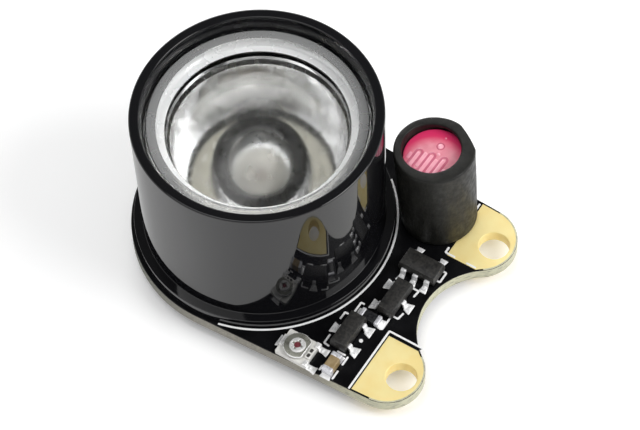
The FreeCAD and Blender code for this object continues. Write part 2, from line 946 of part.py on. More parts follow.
def make_chip_body(name, package):
    """A moulded package, widest at its leads and drafted above and below them."""
    body = new_body(name)
    middle = size("chip_lead_level")
    above = size("chip_body_height") - middle
    below = middle - size("chip_body_lift")
    half_x = size(f"{package}_width") / 2
    half_y = size(f"{package}_length") / 2
    for half, reach, down in (("upper", above, False), ("lower", below, True)):
        outline = draw_box(new_sketch(body, "XY_Plane", f"{half}_outline", middle), half_x, half_y)
        pad(body, outline, f"{half}_half", reach, taper=-size("chip_draft"), down=down)
    return body


def make_chip_leads(name, package, rows):
    body = new_body(f"{name}_leads")
    root = size(f"{package}_width") / 2
    tip = size(f"{package}_span") / 2
    heel = tip - size("chip_lead_foot")
    profile = folded_lead(root, heel, tip, size("chip_lead_level"), size("chip_lead_thick"))
    for side, count in rows:
        end = "plus" if side > 0 else "minus"
        add_strips(body, end, profile, side, size("chip_lead_width"), count, lead_row(count))
    return body


def solder_lump(inner_edge, side, across, length, width):
    """Solder that slopes down away from a part. inner_edge is its near edge on that side."""
    lump = doc.addObject("Part::Wedge", "solder_lump")
    half = width / 2
    top_half = half - size("solder_taper")
    top_length = length * size("solder_top_length") / size("solder_length")
    faces = {"Xmin": 0, "Xmax": length, "X2min": 0, "X2max": top_length, "Ymin": 0}
    faces.update({"Zmin": -half, "Zmax": half, "Z2min": -top_half, "Z2max": top_half})
    faces["Ymax"] = size("solder_height")
    for prop, amount in faces.items():
        bind(lump, prop, amount)
    place(lump, inner_edge * side, across)
    heading = Rotation(UP, 0 if side > 0 else HALF_TURN)
    lump.Placement = Placement(lump.Placement.Base, heading * Rotation(ALONG_X, QUARTER_TURN))
    return lump


def solder_row(reach, side, count, width, row):
    """Solder at each foot of a row. reach is how far out the feet end."""
    lumps = []
    length = size("solder_length")
    inner_edge = reach + size("solder_toe") - length
    for number in range(count):
        across = as_size(0.0)
        if count > 1:
            across = row * (number / (count - 1)) - row / 2
        lumps.append(solder_lump(inner_edge, side, across, length, width))
    return lumps


def make_chips():
    """Every chip's package and leads, and the solder for the leads."""
    bodies, leads, solder = [], [], []
    for name, package, turn, plus_count, minus_count in CHIPS:
        rows = ((1, plus_count), (-1, minus_count))
        bodies.append(on_board(make_chip_body(name, package), name, turn))
        leads.append(on_board(make_chip_leads(name, package, rows), name, turn))
        reach = size(f"{package}_span") / 2
        width = size(f"{package}_solder_width")
        lumps = []
        for side, count in rows:
            lumps += solder_row(reach, side, count, width, lead_row(count))
        solder.append(on_board(group(f"{name}_solder", lumps), name, turn))
    return bodies, leads, solder


def make_end_parts():
    """The resistor and the capacitor: a block between two metal caps, with solder outside."""
    bodies, solder = [], []
    half = size("end_part_length") / 2
    wide = size("end_part_width")
    wrap = size("cap_wrap")
    edge = size("cap_edge")
    for name, turn in END_PARTS:
        high = size(f"{name}_height")
        inner = half - size(f"{name}_cap")
        block = new_body(f"{name}_body")
        outline = new_sketch(block, "XY_Plane", "block_outline", wrap)
        pad(block, draw_box(outline, inner, wide / 2 - wrap), "block", high - wrap * 2)
        caps = new_body(f"{name}_caps")
        section = [(inner, 0), (half - edge, 0), (half, edge)]
        section += [(half, high - edge), (half - edge, high), (inner, high)]
        lumps = []
        for end, side in (("plus", 1), ("minus", -1)):
            add_strips(caps, end, section, side, wide)
            lumps.append(solder_lump(half, side, as_size(0.0), size("solder_toe") * 2, wide))
        bodies += [on_board(block, name, turn), on_board(caps, name, turn)]
        solder.append(on_board(group(f"{name}_solder", lumps), name, turn))
    return bodies, solder


def make_fixed_solder():
    """Solder at the feet of the LED's and the trimmer's leads."""
    led_lumps = []
    for side in (-1, 1):
        width = size("led_lead_width") + size("solder_taper")
        led_lumps += solder_row(led_lead_reach(), side, 1, width, None)
    base_end = size("trimmer_length") / 2 + size("terminal_thick")
    common_reach = base_end + size("common_terminal_reach")
    common_width = size("common_terminal_width") + size("solder_taper")
    lumps = [solder_lump(common_reach, -1, as_size(0.0), size("solder_toe"), common_width)]
    row = size("trimmer_width") - size("terminal_width")
    reach = base_end + size("terminal_reach")
    lumps += solder_row(reach, 1, 2, size("terminal_width") + size("solder_taper"), row)
    led_solder = on_lens_axis(group("led_solder", led_lumps), QUARTER_TURN)
    return [led_solder, on_trimmer(group("trimmer_solder", lumps))]


def check_everything(parts):
    for thing in doc.Objects:
        if "Invalid" in thing.State or "Error" in thing.State:
            raise RuntimeError(f"{thing.Name} has state {thing.State}")
    for part in parts:
        if part.Shape.isNull() or not part.Shape.isValid() or not part.Shape.Solids:
            raise RuntimeError(f"{part.Label} has no valid solid")


def main():
    make_sheet()
    parts = [make_board()]
    parts.append(make_contact_pad("contact_pad_trimmer_side", -1))
    parts.append(make_contact_pad("contact_pad_sensor_side", 1))
    led_leads = make_led_leads()
    parts += [make_holder(), make_lens(), led_leads]
    parts += [make_led_slug(), make_led_body(), make_led_dome(), make_led_die()]
    sensor_leads = make_sensor_leads()
    parts += [make_sleeve(), make_sensor_disc(), sensor_leads, make_sensor_solder(sensor_leads)]
    terminals = make_trimmer_terminals()
    parts += [make_trimmer_base(), make_trimmer_track(), terminals, make_rotor()]
    chips, chip_leads, solder = make_chips()
    end_parts, end_solder = make_end_parts()
    parts += chips + chip_leads + end_parts
    soldered = group("soldered_leads", chip_leads + [led_leads, terminals])
    all_solder = group("solder_lumps", solder + end_solder + make_fixed_solder())
    parts.append(cut("solder_joints", all_solder, soldered))

    doc.recompute()
    check_everything(parts)
    for part in parts:
        part.Shape.exportStep(f"parts/{part.Label}.step")


main()
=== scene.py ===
import math

import bmesh
import bpy
from mathutils import Matrix, Vector, noise


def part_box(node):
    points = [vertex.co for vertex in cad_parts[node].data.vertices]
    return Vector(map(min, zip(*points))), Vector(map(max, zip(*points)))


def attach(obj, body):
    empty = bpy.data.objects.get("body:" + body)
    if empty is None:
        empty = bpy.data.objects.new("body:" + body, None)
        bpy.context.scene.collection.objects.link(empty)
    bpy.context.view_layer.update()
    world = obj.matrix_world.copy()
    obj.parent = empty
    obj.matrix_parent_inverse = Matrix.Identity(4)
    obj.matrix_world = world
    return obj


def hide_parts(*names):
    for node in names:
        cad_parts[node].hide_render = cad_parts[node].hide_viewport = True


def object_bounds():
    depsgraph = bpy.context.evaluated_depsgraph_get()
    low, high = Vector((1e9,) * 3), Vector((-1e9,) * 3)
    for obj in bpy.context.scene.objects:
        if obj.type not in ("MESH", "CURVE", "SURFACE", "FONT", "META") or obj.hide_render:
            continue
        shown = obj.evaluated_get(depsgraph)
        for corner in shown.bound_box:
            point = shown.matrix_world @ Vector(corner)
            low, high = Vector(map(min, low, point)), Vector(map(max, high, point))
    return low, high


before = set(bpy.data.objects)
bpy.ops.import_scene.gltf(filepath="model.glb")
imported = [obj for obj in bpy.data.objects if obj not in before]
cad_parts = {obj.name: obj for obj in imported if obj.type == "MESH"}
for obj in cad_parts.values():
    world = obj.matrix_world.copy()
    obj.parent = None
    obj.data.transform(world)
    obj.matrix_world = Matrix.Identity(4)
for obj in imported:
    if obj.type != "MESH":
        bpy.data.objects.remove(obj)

CAD_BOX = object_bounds()

# Lengths are in millimetres until a piece is made, and angles are in degrees.
MM = 0.001

# The board's outline: a round end about the lens axis, two lobes by the holes and a notch
BOARD_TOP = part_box("circuit_board")[1].z / MM
LENS_AXIS = (-15.25, 0.0)
BOARD_END_RADIUS = 9.55
LOBE = (-1.15, -6.25)
LOBE_RADIUS = 2.65
NOTCH = (3.35, 0.0)
HOLE_Y = 6.25
HOLE_RADIUS = 1.1
PLATING = 0.05
PAD_MARGIN = 0.12
PAD_EDGE_X = -2.47
PAD_INNER_Y = -3.87

# Lens holder, lens and LED, as heights above the board
HOLDER_HEIGHT = 12.95
HOLDER_RIM_RADIUS = 8.8
HOLDER_FOOT_RADIUS = 8.64
FLANGE_RADIUS = 9.3
FLANGE_THICK = 0.8
RIM_INNER_RADIUS = 8.1
NEST_RADIUS = 7.85
SEAT_RADIUS = 7.13
LENS_TOP = 11.95
LENS_SEAT = 10.0
LENS_RADIUS = 7.75
LENS_RING_RADIUS = 7.0
LENS_STEP_RADIUS = 6.4
LENS_STEP = 11.15
BOWL_RADIUS = 6.15
BOWL_FLOOR = 10.05
DOME_RISE = 1.5
CONE_TOP_RADIUS = 6.83
CONE_FOOT_RADIUS = 4.2
CONE_FOOT = 3.55
CONE_BULGE = 0.35
CAVITY_RADIUS = 3.0
CAVITY_ROOF = 8.3
ROOF_RADIUS = 2.78
ROOF_RISE = 2.2
LED_RADIUS = 4.0
LED_HEIGHT = 3.2
LED_FLOOR = 2.0
LED_OPENING = 2.7
LED_BORE = 3.0
LED_LIFT = 0.1
LED_DOME_GAP = 0.01
LED_DOME_FOOT = 2.21
LED_DOME_TOP = 4.9

# Light sensor in its sleeve
SENSOR = (-4.69, 6.51)
SLEEVE_LIFT = 0.14
SLEEVE_LEAN = 2.2
SLEEVE_HEADING = 32.0
SLEEVE_LENGTH = 8.25
SLEEVE_FOOT_RADIUS = 2.72
SLEEVE_TOP_RADIUS = 2.88
SLEEVE_BORE_RADIUS = 2.28
SLEEVE_SLOPE = math.tan(math.radians(4.0))
LIP_RADIUS = 2.09
LIP_SHIFT = (-0.25, 0.0)
DENT_HEADING = 56.0
DENT_REACH = 2.6
DISC_RADIUS = 2.23
DISC_TOP = 7.5
DISC_THICK = 2.0
LEAD_PITCH = 3.2
LEAD_RADIUS = 0.25
LEAD_HOLE_RADIUS = 0.4

# Trimmer
TRIMMER = (-7.28, -8.15)
TRIMMER_LENGTH = 2.5
TRIMMER_WIDTH = 2.1
CERAMIC = 0.38
ROTOR_RADIUS = 1.0
ROTOR_FLAT = 0.74
ROTOR_LOW = 0.56
ROTOR_THICK = 0.14
BOSS_HEIGHT = 0.12

# Surface-mounted parts
CHIP_HEIGHT = 1.0
CHIP_LIFT = 0.08
CHIP_DRAFT = math.tan(math.radians(8.0))
LEAD_LEVEL = 0.5
LEAD_THICK = 0.13
LEAD_WIDTH = 0.4
LEAD_FOOT = 0.4
LEAD_ROW = 1.9
END_PART_LENGTH = 1.6
END_PART_WIDTH = 0.8

# How finely round things are divided
CORNER_STEPS = 4
LOBE_STEPS = 28
NOTCH_STEPS = 44
END_STEPS = 120

# Half the angle past which a corner counts as straight, the share of a side that a round corner
# may take, and the sharpest mitres of outlines and of lines
STRAIGHT = 89
CORNER_SHARE = 0.48
OUTLINE_MITRE = 0.3
LINE_MITRE = 0.4


# Flat outlines

def polar(radius, angle, center=(0.0, 0.0)):
    turn = math.radians(angle)
    return center[0] + radius * math.cos(turn), center[1] + radius * math.sin(turn)


def heading_of(point, center=(0.0, 0.0)):
    return math.degrees(math.atan2(point[1] - center[1], point[0] - center[0]))


def shares(steps):
    """From 0 to 1 in even steps."""
    return [step / steps for step in range(steps + 1)]


def arc(center, radius, start, end, steps):
    """Points along an arc, with both of its ends."""
    return [polar(radius, start + (end - start) * share, center) for share in shares(steps)]


def circle(center, radius, steps=48):
    return arc(center, radius, 0, 360, steps)[:-1]


def join(*runs):
    """One closed outline from runs of points, without the points that repeat."""
    outline = []
    for point in (point for run in runs for point in run):
        if not outline or math.dist(point, outline[-1]) > 1e-6:
            outline.append(point)
    if math.dist(outline[0], outline[-1]) < 1e-6:
        outline.pop()
    return outline


def mirrored(outline):
    """The outline on the other side of the X axis, still counterclockwise."""
    return [(x, -y) for x, y in reversed(outline)]


def rounded(points, radius, closed=True, steps=CORNER_STEPS):
    """The polyline with round corners. radius is one number, or one for each point."""
    radii = radius if isinstance(radius, (list, tuple)) else [radius] * len(points)
    result = []
    for index, point in enumerate(points):
        here = Vector(point)
        back = Vector(points[index - 1]) - here
        ahead = Vector(points[(index + 1) % len(points)]) - here
        half = back.angle(ahead, 0.0) / 2
        loose = not closed and index in (0, len(points) - 1)
        if loose or radii[index] <= 0 or half > math.radians(STRAIGHT):
            result.append(tuple(point))
            continue
        reach = min(radii[index] / math.tan(half), back.length * CORNER_SHARE, ahead.length * CORNER_SHARE)
        size = reach * math.tan(half)
        center = here + (back.normalized() + ahead.normalized()).normalized() * (size / math.sin(half))
        first = here + back.normalized() * reach - center
        last = here + ahead.normalized() * reach - center
        result += [tuple(center + first.lerp(last, share).normalized() * size) for share in shares(steps)]
    return result


def rounded_profile(points, **options):
    """The polyline with round corners. Each point ends with its corner's radius."""
    return rounded([point[:2] for point in points], [point[2] for point in points], **options)


def mitre(before, after, sharpest):
    """The step at a corner that moves the sides before and after it by one to the left."""
    before, after = before.normalized(), after.normalized()
    left = Vector((-before.y - after.y, before.x + after.x)).normalized()
    return left / max(left.dot(Vector((-before.y, before.x))), sharpest)


def offset(points, distance):
    """A closed counterclockwise outline moved inward by distance, with mitred corners."""
    result = []
    for index, point in enumerate(points):
        here = Vector(point)
        ahead = Vector(points[(index + 1) % len(points)]) - here
        step = mitre(here - Vector(points[index - 1]), ahead, OUTLINE_MITRE)
        result.append(tuple(here + step * distance))
    return result


def ribbon(path, width):
    """The outline of a line of that width along an open path."""
    sides = [[], []]
    for index, point in enumerate(path):
        here = Vector(point)
        before = here - Vector(path[index - 1]) if index else Vector(path[1]) - here
        after = Vector(path[index + 1]) - here if index + 1 < len(path) else before
        reach = mitre(before, after, LINE_MITRE) * (width / 2)
        sides[0].append(tuple(here - reach))
        sides[1].append(tuple(here + reach))
    return sides[0] + sides[1][::-1]


def box_outline(half_x, half_y, radius):
    corners = [(-half_x, -half_y), (half_x, -half_y), (half_x, half_y), (-half_x, half_y)]
    return rounded(corners, radius)


# Solid forms

def add_ring(bm, outline, level):
    return [bm.verts.new((x, y, level)) for x, y in outline]


def pairs(items):
    """Each item with the next one, round to the first again."""
    return zip(items, items[1:] + items[:1])


def add_wall(bm, low, high, material=0):
    """Faces between two rings of the same number of points, facing outward."""
    for (near, near_ahead), (far, far_ahead) in zip(pairs(low), pairs(high)):
        corners = list(dict.fromkeys((near, near_ahead, far_ahead, far)))
        if len(corners) > 2:
            face = bm.faces.new(corners)
            face.smooth = True
            face.material_index = material


def add_cap(bm, rings, up, material=0):
    """A flat face inside the first ring and outside the others."""
    sides = [pair for ring in rings for pair in pairs(ring)]
    edges = [bm.edges.get(pair) or bm.edges.new(pair) for pair in sides]
    normal = Vector((0, 0, 1 if up else -1))
    filled = bmesh.ops.triangle_fill(bm, use_beauty=True, edges=edges, normal=normal)
    for face in filled["geom"]:
        if isinstance(face, bmesh.types.BMFace):
            face.normal_update()
            if face.normal.dot(normal) < 0:
                face.normal_flip()
            face.material_index = material
            face.smooth = False


def add_stack(bm, outline_at, stations, material=0, caps=True):
    """A solid of rings. outline_at(inset) gives a ring, and stations are (inset, level)."""
    rings = [add_ring(bm, outline_at(inset), level) for inset, level in stations]
    for low, high in zip(rings, rings[1:]):
        add_wall(bm, low, high, material)
    if caps:
        add_cap(bm, [rings[0]], False, material)
        add_cap(bm, [rings[-1]], True, material)
    return rings


def soft_edges(low, high, radius, steps=3):
    """Stations of a plate whose lower and upper edges are round."""
    stations = arc((radius, low + radius), radius, -90, -180, steps)
    return stations + [(inset, low + high - level) for inset, level in reversed(stations)]


def add_outline(bm, outline, stations, material=0):
    """A solid of one outline, moved inward by each station's inset."""
    add_stack(bm, lambda inset: offset(outline, inset), stations, material)


def add_plate(bm, outline, low, high, edge):
    """A plate of any outline, with round edges."""
    add_outline(bm, outline, soft_edges(low, high, edge))


def add_box(bm, half_x, half_y, corner, stations):
    """A solid with a rectangular outline, moved inward by each station's inset."""
    add_stack(bm, lambda inset: box_outline(half_x - inset, half_y - inset, corner), stations)


def add_lathe(bm, profile, steps, shape=lambda *spot: spot, zone=lambda *middle: 0):
    """A closed counterclockwise profile of (radius, height) turned about the Z axis.

    shape(x, y, z) may move each point, and zone(radius, height) may choose each band's material."""
    rings = []
    for radius, height in profile:
        if radius < 1e-6:
            rings.append([bm.verts.new((0, 0, height))] * steps)
        else:
            spots = circle((0, 0), radius, steps)
            rings.append([bm.verts.new(shape(*spot, height)) for spot in spots])
    for (near, far), (low, high) in zip(pairs(profile), pairs(rings)):
        middle = [(here + ahead) / 2 for here, ahead in zip(near, far)]
        add_wall(bm, low, high, zone(*middle))


def add_blob(bm, stations, steps=10, fullness=0.8):
    """Solder with a round top. stations are (x, half width, height) along it."""
    rings = []
    for x, half, high in stations:
        arch = arc((0, 0), 1, 0, 180, steps)
        rings.append([bm.verts.new((x, half * across, high * max(up, 0) ** fullness)) for across, up in arch])
    for low, high in zip(rings, rings[1:]):
        add_wall(bm, low, high)
    bm.faces.new(rings[0][::-1])
    bm.faces.new(rings[-1])
    bmesh.ops.recalc_face_normals(bm, faces=bm.faces)


def at(x=0.0, y=0.0, z=0.0, turn=0.0):
    return Matrix.Translation((x, y, z)) @ Matrix.Rotation(math.radians(turn), 4, "Z")


def on_board(spot, turn=0.0):
    return at(*spot, BOARD_TOP, turn)


def upright():
    """Stands a plate up, so that its outline's Y becomes height and its thickness lies along Y."""
    return Matrix.Rotation(math.radians(90), 4, "X")


def add_part(bm, matrix, build, *values, **options):
    """Runs build on an empty mesh and adds the result, moved by matrix."""
    part = bmesh.new()
    build(part, *values, **options)
    part.transform(matrix)
    mesh = bpy.data.meshes.new("part")
    part.to_mesh(mesh)
    part.free()
    bm.from_mesh(mesh)
    bpy.data.meshes.remove(mesh)


def add_object(name, data):
    thing = bpy.data.objects.new(name, data)
    bpy.context.scene.collection.objects.link(thing)
    return thing


def make_piece(name, bm, looks, nodes=(), body="board", matrix=None, crease=38):
    """Turns the mesh into an object that rides on a CAD body and stands for CAD nodes."""
    if matrix:
        bm.transform(matrix)
    bm.transform(Matrix.Scale(MM, 4))
    mesh = bpy.data.meshes.new(name)
    bm.to_mesh(mesh)
    bm.free()
    for look in looks:
        mesh.materials.append(look.material)
    mesh.set_sharp_from_angle(angle=math.radians(crease))
    piece = add_object(name, mesh)
    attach(piece, body)
    if nodes:
        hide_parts(*nodes)


# Circuit board

BOARD_SKIN = 0.05
BOARD_EDGE = 0.03
# The bare laminate beside the pads: its gap to them, its depth and its height above the mask
BARE_GAP = 0.01
BARE_DEPTH = 0.02
BARE_LIFT = 0.004
PAD_EDGE = 0.02
PAD_ROLL = 0.06
# The share of the plating's thickness that the scene's pads have at their edge
PAD_SEAT = 0.98
# The outward heading of the straight side that touches the round end and the lobe
SIDE_SLOPE = math.acos((BOARD_END_RADIUS - LOBE_RADIUS) / math.dist(LOBE, LENS_AXIS))
SIDE_HEADING = heading_of(LOBE, LENS_AXIS) - math.degrees(SIDE_SLOPE)
NOTCH_HEADING = heading_of(NOTCH, LOBE)
NOTCH_RADIUS = math.dist(LOBE, NOTCH) - LOBE_RADIUS


def lobe_arc(radius):
    return arc(LOBE, radius, SIDE_HEADING, NOTCH_HEADING, LOBE_STEPS)


def board_outline(inset=0.0):
    lobe = lobe_arc(LOBE_RADIUS - inset)
    notch = arc(NOTCH, NOTCH_RADIUS + inset, 180 + NOTCH_HEADING, 180 - NOTCH_HEADING, NOTCH_STEPS)
    end = arc(LENS_AXIS, BOARD_END_RADIUS - inset, -SIDE_HEADING, 360 + SIDE_HEADING, END_STEPS)
    return join(end, lobe, notch, mirrored(lobe))


def pad_outline(side, inset=0.0):
    """A gold pad's outline on the trimmer's side (-1) or the sensor's side (1)."""
    margin = PAD_MARGIN + inset
    lobe = lobe_arc(LOBE_RADIUS - margin)
    edge_x = PAD_EDGE_X + inset
    inner_y = PAD_INNER_Y - inset
    out = Vector(polar(1.0, SIDE_HEADING))
    corner = (edge_x, lobe[0][1] + (lobe[0][0] - edge_x) * out.x / out.y)
    reach = NOTCH_RADIUS + margin
    tip_x = NOTCH[0] - math.sqrt(reach * reach - inner_y * inner_y)
    tip_heading = heading_of((tip_x, inner_y), NOTCH) % 360
    notch = arc(NOTCH, reach, 180 + NOTCH_HEADING, tip_heading, 12)
    outline = join([corner], lobe, notch, [(edge_x, inner_y)])
    return outline if side < 0 else mirrored(outline)


def hole_outline(side, radius):
    return circle((0.0, HOLE_Y * side), radius)


def lead_hole_outline(side):
    return circle((SENSOR[0], SENSOR[1] + LEAD_PITCH / 2 * side), LEAD_HOLE_RADIUS, 32)


def make_board():
    """The laminate with its mask, with recesses for the gold pads and holes right through."""
    bm = bmesh.new()
    mask, core = 0, 1
    stations = [(BOARD_EDGE, 0.0), (0.0, BOARD_SKIN), (0.0, BOARD_TOP - BOARD_SKIN), (BOARD_EDGE, BOARD_TOP)]
    rings = [add_ring(bm, board_outline(inset), level) for inset, level in stations]
    for index, material in enumerate((mask, core, mask)):
        add_wall(bm, rings[index], rings[index + 1], material)
    for up, level, floor in ((True, BOARD_TOP, BOARD_TOP - PLATING), (False, 0.0, PLATING)):
        openings = []
        for side in (-1, 1):
            brim = add_ring(bm, pad_outline(side), level)
            sunk = add_ring(bm, pad_outline(side), floor)
            add_wall(bm, brim, sunk) if up else add_wall(bm, sunk, brim)
            add_cap(bm, [sunk, add_ring(bm, hole_outline(side, HOLE_RADIUS + PLATING), floor)], up, core)
            openings.append(brim)
            openings.append(add_ring(bm, lead_hole_outline(side), level))
        add_cap(bm, [rings[-1] if up else rings[0]] + openings, up, mask)
    for side in (-1, 1):
        low = add_ring(bm, lead_hole_outline(side), 0.0)
        add_wall(bm, add_ring(bm, lead_hole_outline(side), BOARD_TOP), low, core)
    bmesh.ops.remove_doubles(bm, verts=bm.verts, dist=1e-5)
    bare = ribbon(lobe_arc(LOBE_RADIUS - PAD_MARGIN / 2 - BARE_GAP), PAD_MARGIN - 2 * BARE_GAP)
    for outline in (bare, mirrored(bare)):
        add_outline(bm, outline, [(0.0, BOARD_TOP - BARE_DEPTH), (0.0, BOARD_TOP + BARE_LIFT)], core)
    make_piece("circuit_board_detailed", bm, [MASK, LAMINATE], ["circuit_board"])


def make_contact_pads():
    """Gold on both faces, with a rim rolled into the screw hole."""
    for side, node in ((-1, "contact_pad_trimmer_side"), (1, "contact_pad_sensor_side")):
        bm = bmesh.new()
        for up in (True, False):
            level = BOARD_TOP if up else 0.0
            inward = -1 if up else 1
            brim = add_ring(bm, pad_outline(side, PAD_EDGE), level)
            skirt = add_ring(bm, pad_outline(side), level + inward * PAD_EDGE)
            foot = add_ring(bm, pad_outline(side), level + inward * PLATING * PAD_SEAT)
            roll = arc((HOLE_RADIUS + PAD_ROLL, PAD_ROLL), PAD_ROLL, -90, -180, CORNER_STEPS)
            levels = [(radius, level + inward * depth) for radius, depth in roll]
            levels.append((HOLE_RADIUS, BOARD_TOP / 2))
            bore = [add_ring(bm, hole_outline(side, radius), height) for radius, height in levels]
            walls = [(brim, skirt), (skirt, foot)]
            walls += [(high, low) for low, high in zip(bore, bore[1:])]
            for first, second in walls:
                add_wall(bm, second, first) if up else add_wall(bm, first, second)
            add_cap(bm, [brim, bore[0]], up)
        bmesh.ops.remove_doubles(bm, verts=bm.verts, dist=1e-5)
        make_piece(f"{node}_plated", bm, [GOLD], [node])


# White lines on the board, each an open path of points
SILK_WIDTH = 0.15
SILK_HEIGHT = 0.025
SILK_ROOT = 0.005
SILK_BEND = 0.06
SILK_CORNER = 0.05
SILK_LINES = (
    ((-2.25, 1.67), (-1.7, 1.67), (-1.7, 2.55), (-2.15, 2.55)),
    ((-3.58, 0.27), (-2.58, 0.27), (-2.65, -0.33)),
    ((-2.55, -1.8), (-2.65, -2.4), (-3.15, -2.4), (-3.15, -3.7), (-3.55, -3.7)),
    ((-5.25, -2.6), (-5.55, -2.6), (-5.55, -3.7), (-5.25, -3.7)),
    ((-5.81, -3.85), (-6.1, -3.85), (-6.1, -4.5)),
    ((-6.03, -5.9), (-6.03, -6.7), (-5.58, -6.75)),
    ((-4.0, -6.8), (-4.0, -7.6)),
    ((-4.0, -8.1), (-4.0, -8.9)),
    ((-5.15, -8.3), (-5.15, -8.75)),
    ((-4.9, -6.8), (-4.2, -6.8)),
    ((0.1, -3.55), (-2.63, -3.55), (-2.63, -8.93)),
    ((-2.65, 4.5), (-2.65, 4.0), (-1.85, 4.0)),
    ((-0.95, 4.0), (-0.15, 4.0)),
    ((-2.65, 8.2), (-2.65, 8.75)),
)
SILK_DOTS = ((-3.92, -5.24),)
# The line round the holder: radius, start, end
SILK_RING = (9.47, -77.5, 50.0)


def make_silk():
    bm = bmesh.new()
    low, high = BOARD_TOP - SILK_ROOT, BOARD_TOP + SILK_HEIGHT
    edge = SILK_HEIGHT / 2
    stations = [(0, low), (0, high - edge), (edge, high)]
    for path in SILK_LINES:
        line = ribbon(rounded(path, SILK_BEND, closed=False), SILK_WIDTH)
        add_outline(bm, rounded(line, SILK_CORNER, steps=2), stations)
    for spot in SILK_DOTS:
        add_stack(bm, lambda inset: circle(spot, SILK_WIDTH - inset, 20), [(0, low), (edge, high)])
    add_outline(bm, ribbon(arc(LENS_AXIS, *SILK_RING, 90), SILK_WIDTH), stations)
    make_piece("board_lines", bm, [SILK])


# Lens holder, lens and LED

def make_holder():
    bm = bmesh.new()
    profile = [
        (SEAT_RADIUS, 0, 0), (FLANGE_RADIUS, 0, 0.02), (FLANGE_RADIUS, FLANGE_THICK, 0.04),
        (HOLDER_FOOT_RADIUS, FLANGE_THICK, 0.04), (HOLDER_RIM_RADIUS, HOLDER_HEIGHT, 0.12),
        (RIM_INNER_RADIUS, HOLDER_HEIGHT, 0.08), (NEST_RADIUS, LENS_TOP, 0),
        (NEST_RADIUS, LENS_SEAT, 0), (SEAT_RADIUS, LENS_SEAT, 0.05),
    ]
    add_lathe(bm, rounded_profile(profile, steps=5), 192)
    make_piece("lens_holder_moulded", bm, [HOLDER], ["lens_holder"],
               matrix=on_board(LENS_AXIS))


def cap_points(reach, rise, level, steps):
    """A round cap from its edge to its crown on the axis."""
    radius = (reach * reach + rise * rise) / (2 * rise)
    return arc((0, level + rise - radius), radius, heading_of((reach, radius - rise)), 90, steps)


def cone_points(steps):
    """The bulged outside of the lens, from its foot up."""
    points = []
    for share in shares(steps):
        radius = CONE_FOOT_RADIUS + (CONE_TOP_RADIUS - CONE_FOOT_RADIUS) * share
        radius += CONE_BULGE * 4 * share * (1 - share)
        points.append((radius, CONE_FOOT + (LENS_SEAT - CONE_FOOT) * share))
    return points


def lens_zone(radius, height):
    """Which look a band of the lens has. The small tolerances keep the round corners polished."""
    zones = (
        height > LENS_TOP - 0.02 and radius < LENS_RADIUS - 0.1,
        height > LENS_STEP - 0.01 and LENS_STEP_RADIUS - 0.06 < radius < LENS_RING_RADIUS,
        height > BOWL_FLOOR and radius < BOWL_RADIUS,
        height < LENS_SEAT and radius > CAVITY_RADIUS + 0.1,
        height > CAVITY_ROOF - ROOF_RISE and radius < ROOF_RADIUS,
    )
    return zones.index(True) + 1 if any(zones) else 0


def make_lens():
    bm = bmesh.new()
    roof = cap_points(ROOF_RADIUS, ROOF_RISE, CAVITY_ROOF - ROOF_RISE, 24)[::-1]
    rim = [
        (LENS_RADIUS, LENS_SEAT, 0.05), (LENS_RADIUS, LENS_TOP, 0.15), (LENS_RING_RADIUS, LENS_TOP, 0.06),
        (LENS_RING_RADIUS - 0.08, LENS_STEP, 0.12), (LENS_STEP_RADIUS, LENS_STEP, 0.1),
        (BOWL_RADIUS, BOWL_FLOOR, 0),
    ]
    dome = cap_points(BOWL_RADIUS, DOME_RISE, BOWL_FLOOR, 28)[1:]
    profile = roof + [(CAVITY_RADIUS, CONE_FOOT)] + cone_points(16)
    profile += rounded_profile(rim, closed=False) + dome
    add_lathe(bm, profile, 192, zone=lens_zone)
    looks = [CLEAR, LENS_RIM, LENS_RING, LENS_DOME, LENS_CONE, LENS_ROOF]
    make_piece("lens_polished", bm, looks, ["lens"], matrix=on_board(LENS_AXIS), crease=30)


def make_led():
    bm = bmesh.new()
    profile = [
        (LED_BORE, LED_LIFT, 0.03), (LED_RADIUS, LED_LIFT, 0.08), (LED_RADIUS, LED_HEIGHT, 0.2),
        (LED_OPENING, LED_HEIGHT, 0.08), (LED_OPENING, LED_FLOOR, 0), (LED_BORE, LED_FLOOR, 0),
    ]
    add_lathe(bm, rounded_profile(profile), 96)
    make_piece("led_body_moulded", bm, [LED_WHITE], ["led_body"], matrix=on_board(LENS_AXIS))

    bm = bmesh.new()
    radius = LED_OPENING - LED_DOME_GAP
    dome = cap_points(radius, LED_DOME_TOP - LED_HEIGHT, LED_HEIGHT, 20)
    add_lathe(bm, [(0.0, LED_DOME_FOOT), (radius, LED_DOME_FOOT)] + dome, 96)
    make_piece("led_dome_cast", bm, [SILICONE], ["led_dome"], matrix=on_board(LENS_AXIS))


# Light sensor

# Shares of the sleeve's length: where its dent starts, where its bore narrows and its lip begins
DENT_START = 0.3
LIP_ROOT = 0.93
LIP_START = 0.95
LIP_FOOT = 0.965
# How uneven the sleeve is: its waves' depth as a share of its radius, the sag of its mouth, and
# both ones' place in the noise and rate per millimetre
WAVE_DEPTH = 0.025
WAVE_PLACE = 7.0
WAVE_RATE = (0.45, 0.4)
SAG_DEPTH = 0.05
SAG_PLACE = 3.0
SAG_RATE = 0.8


def sensor_axis():
    heading = math.radians(SLEEVE_HEADING)
    hinge = Vector((math.sin(heading), -math.cos(heading), 0))
    lean = Matrix.Rotation(math.radians(SLEEVE_LEAN), 4, hinge)
    return at(*SENSOR, BOARD_TOP + SLEEVE_LIFT) @ lean


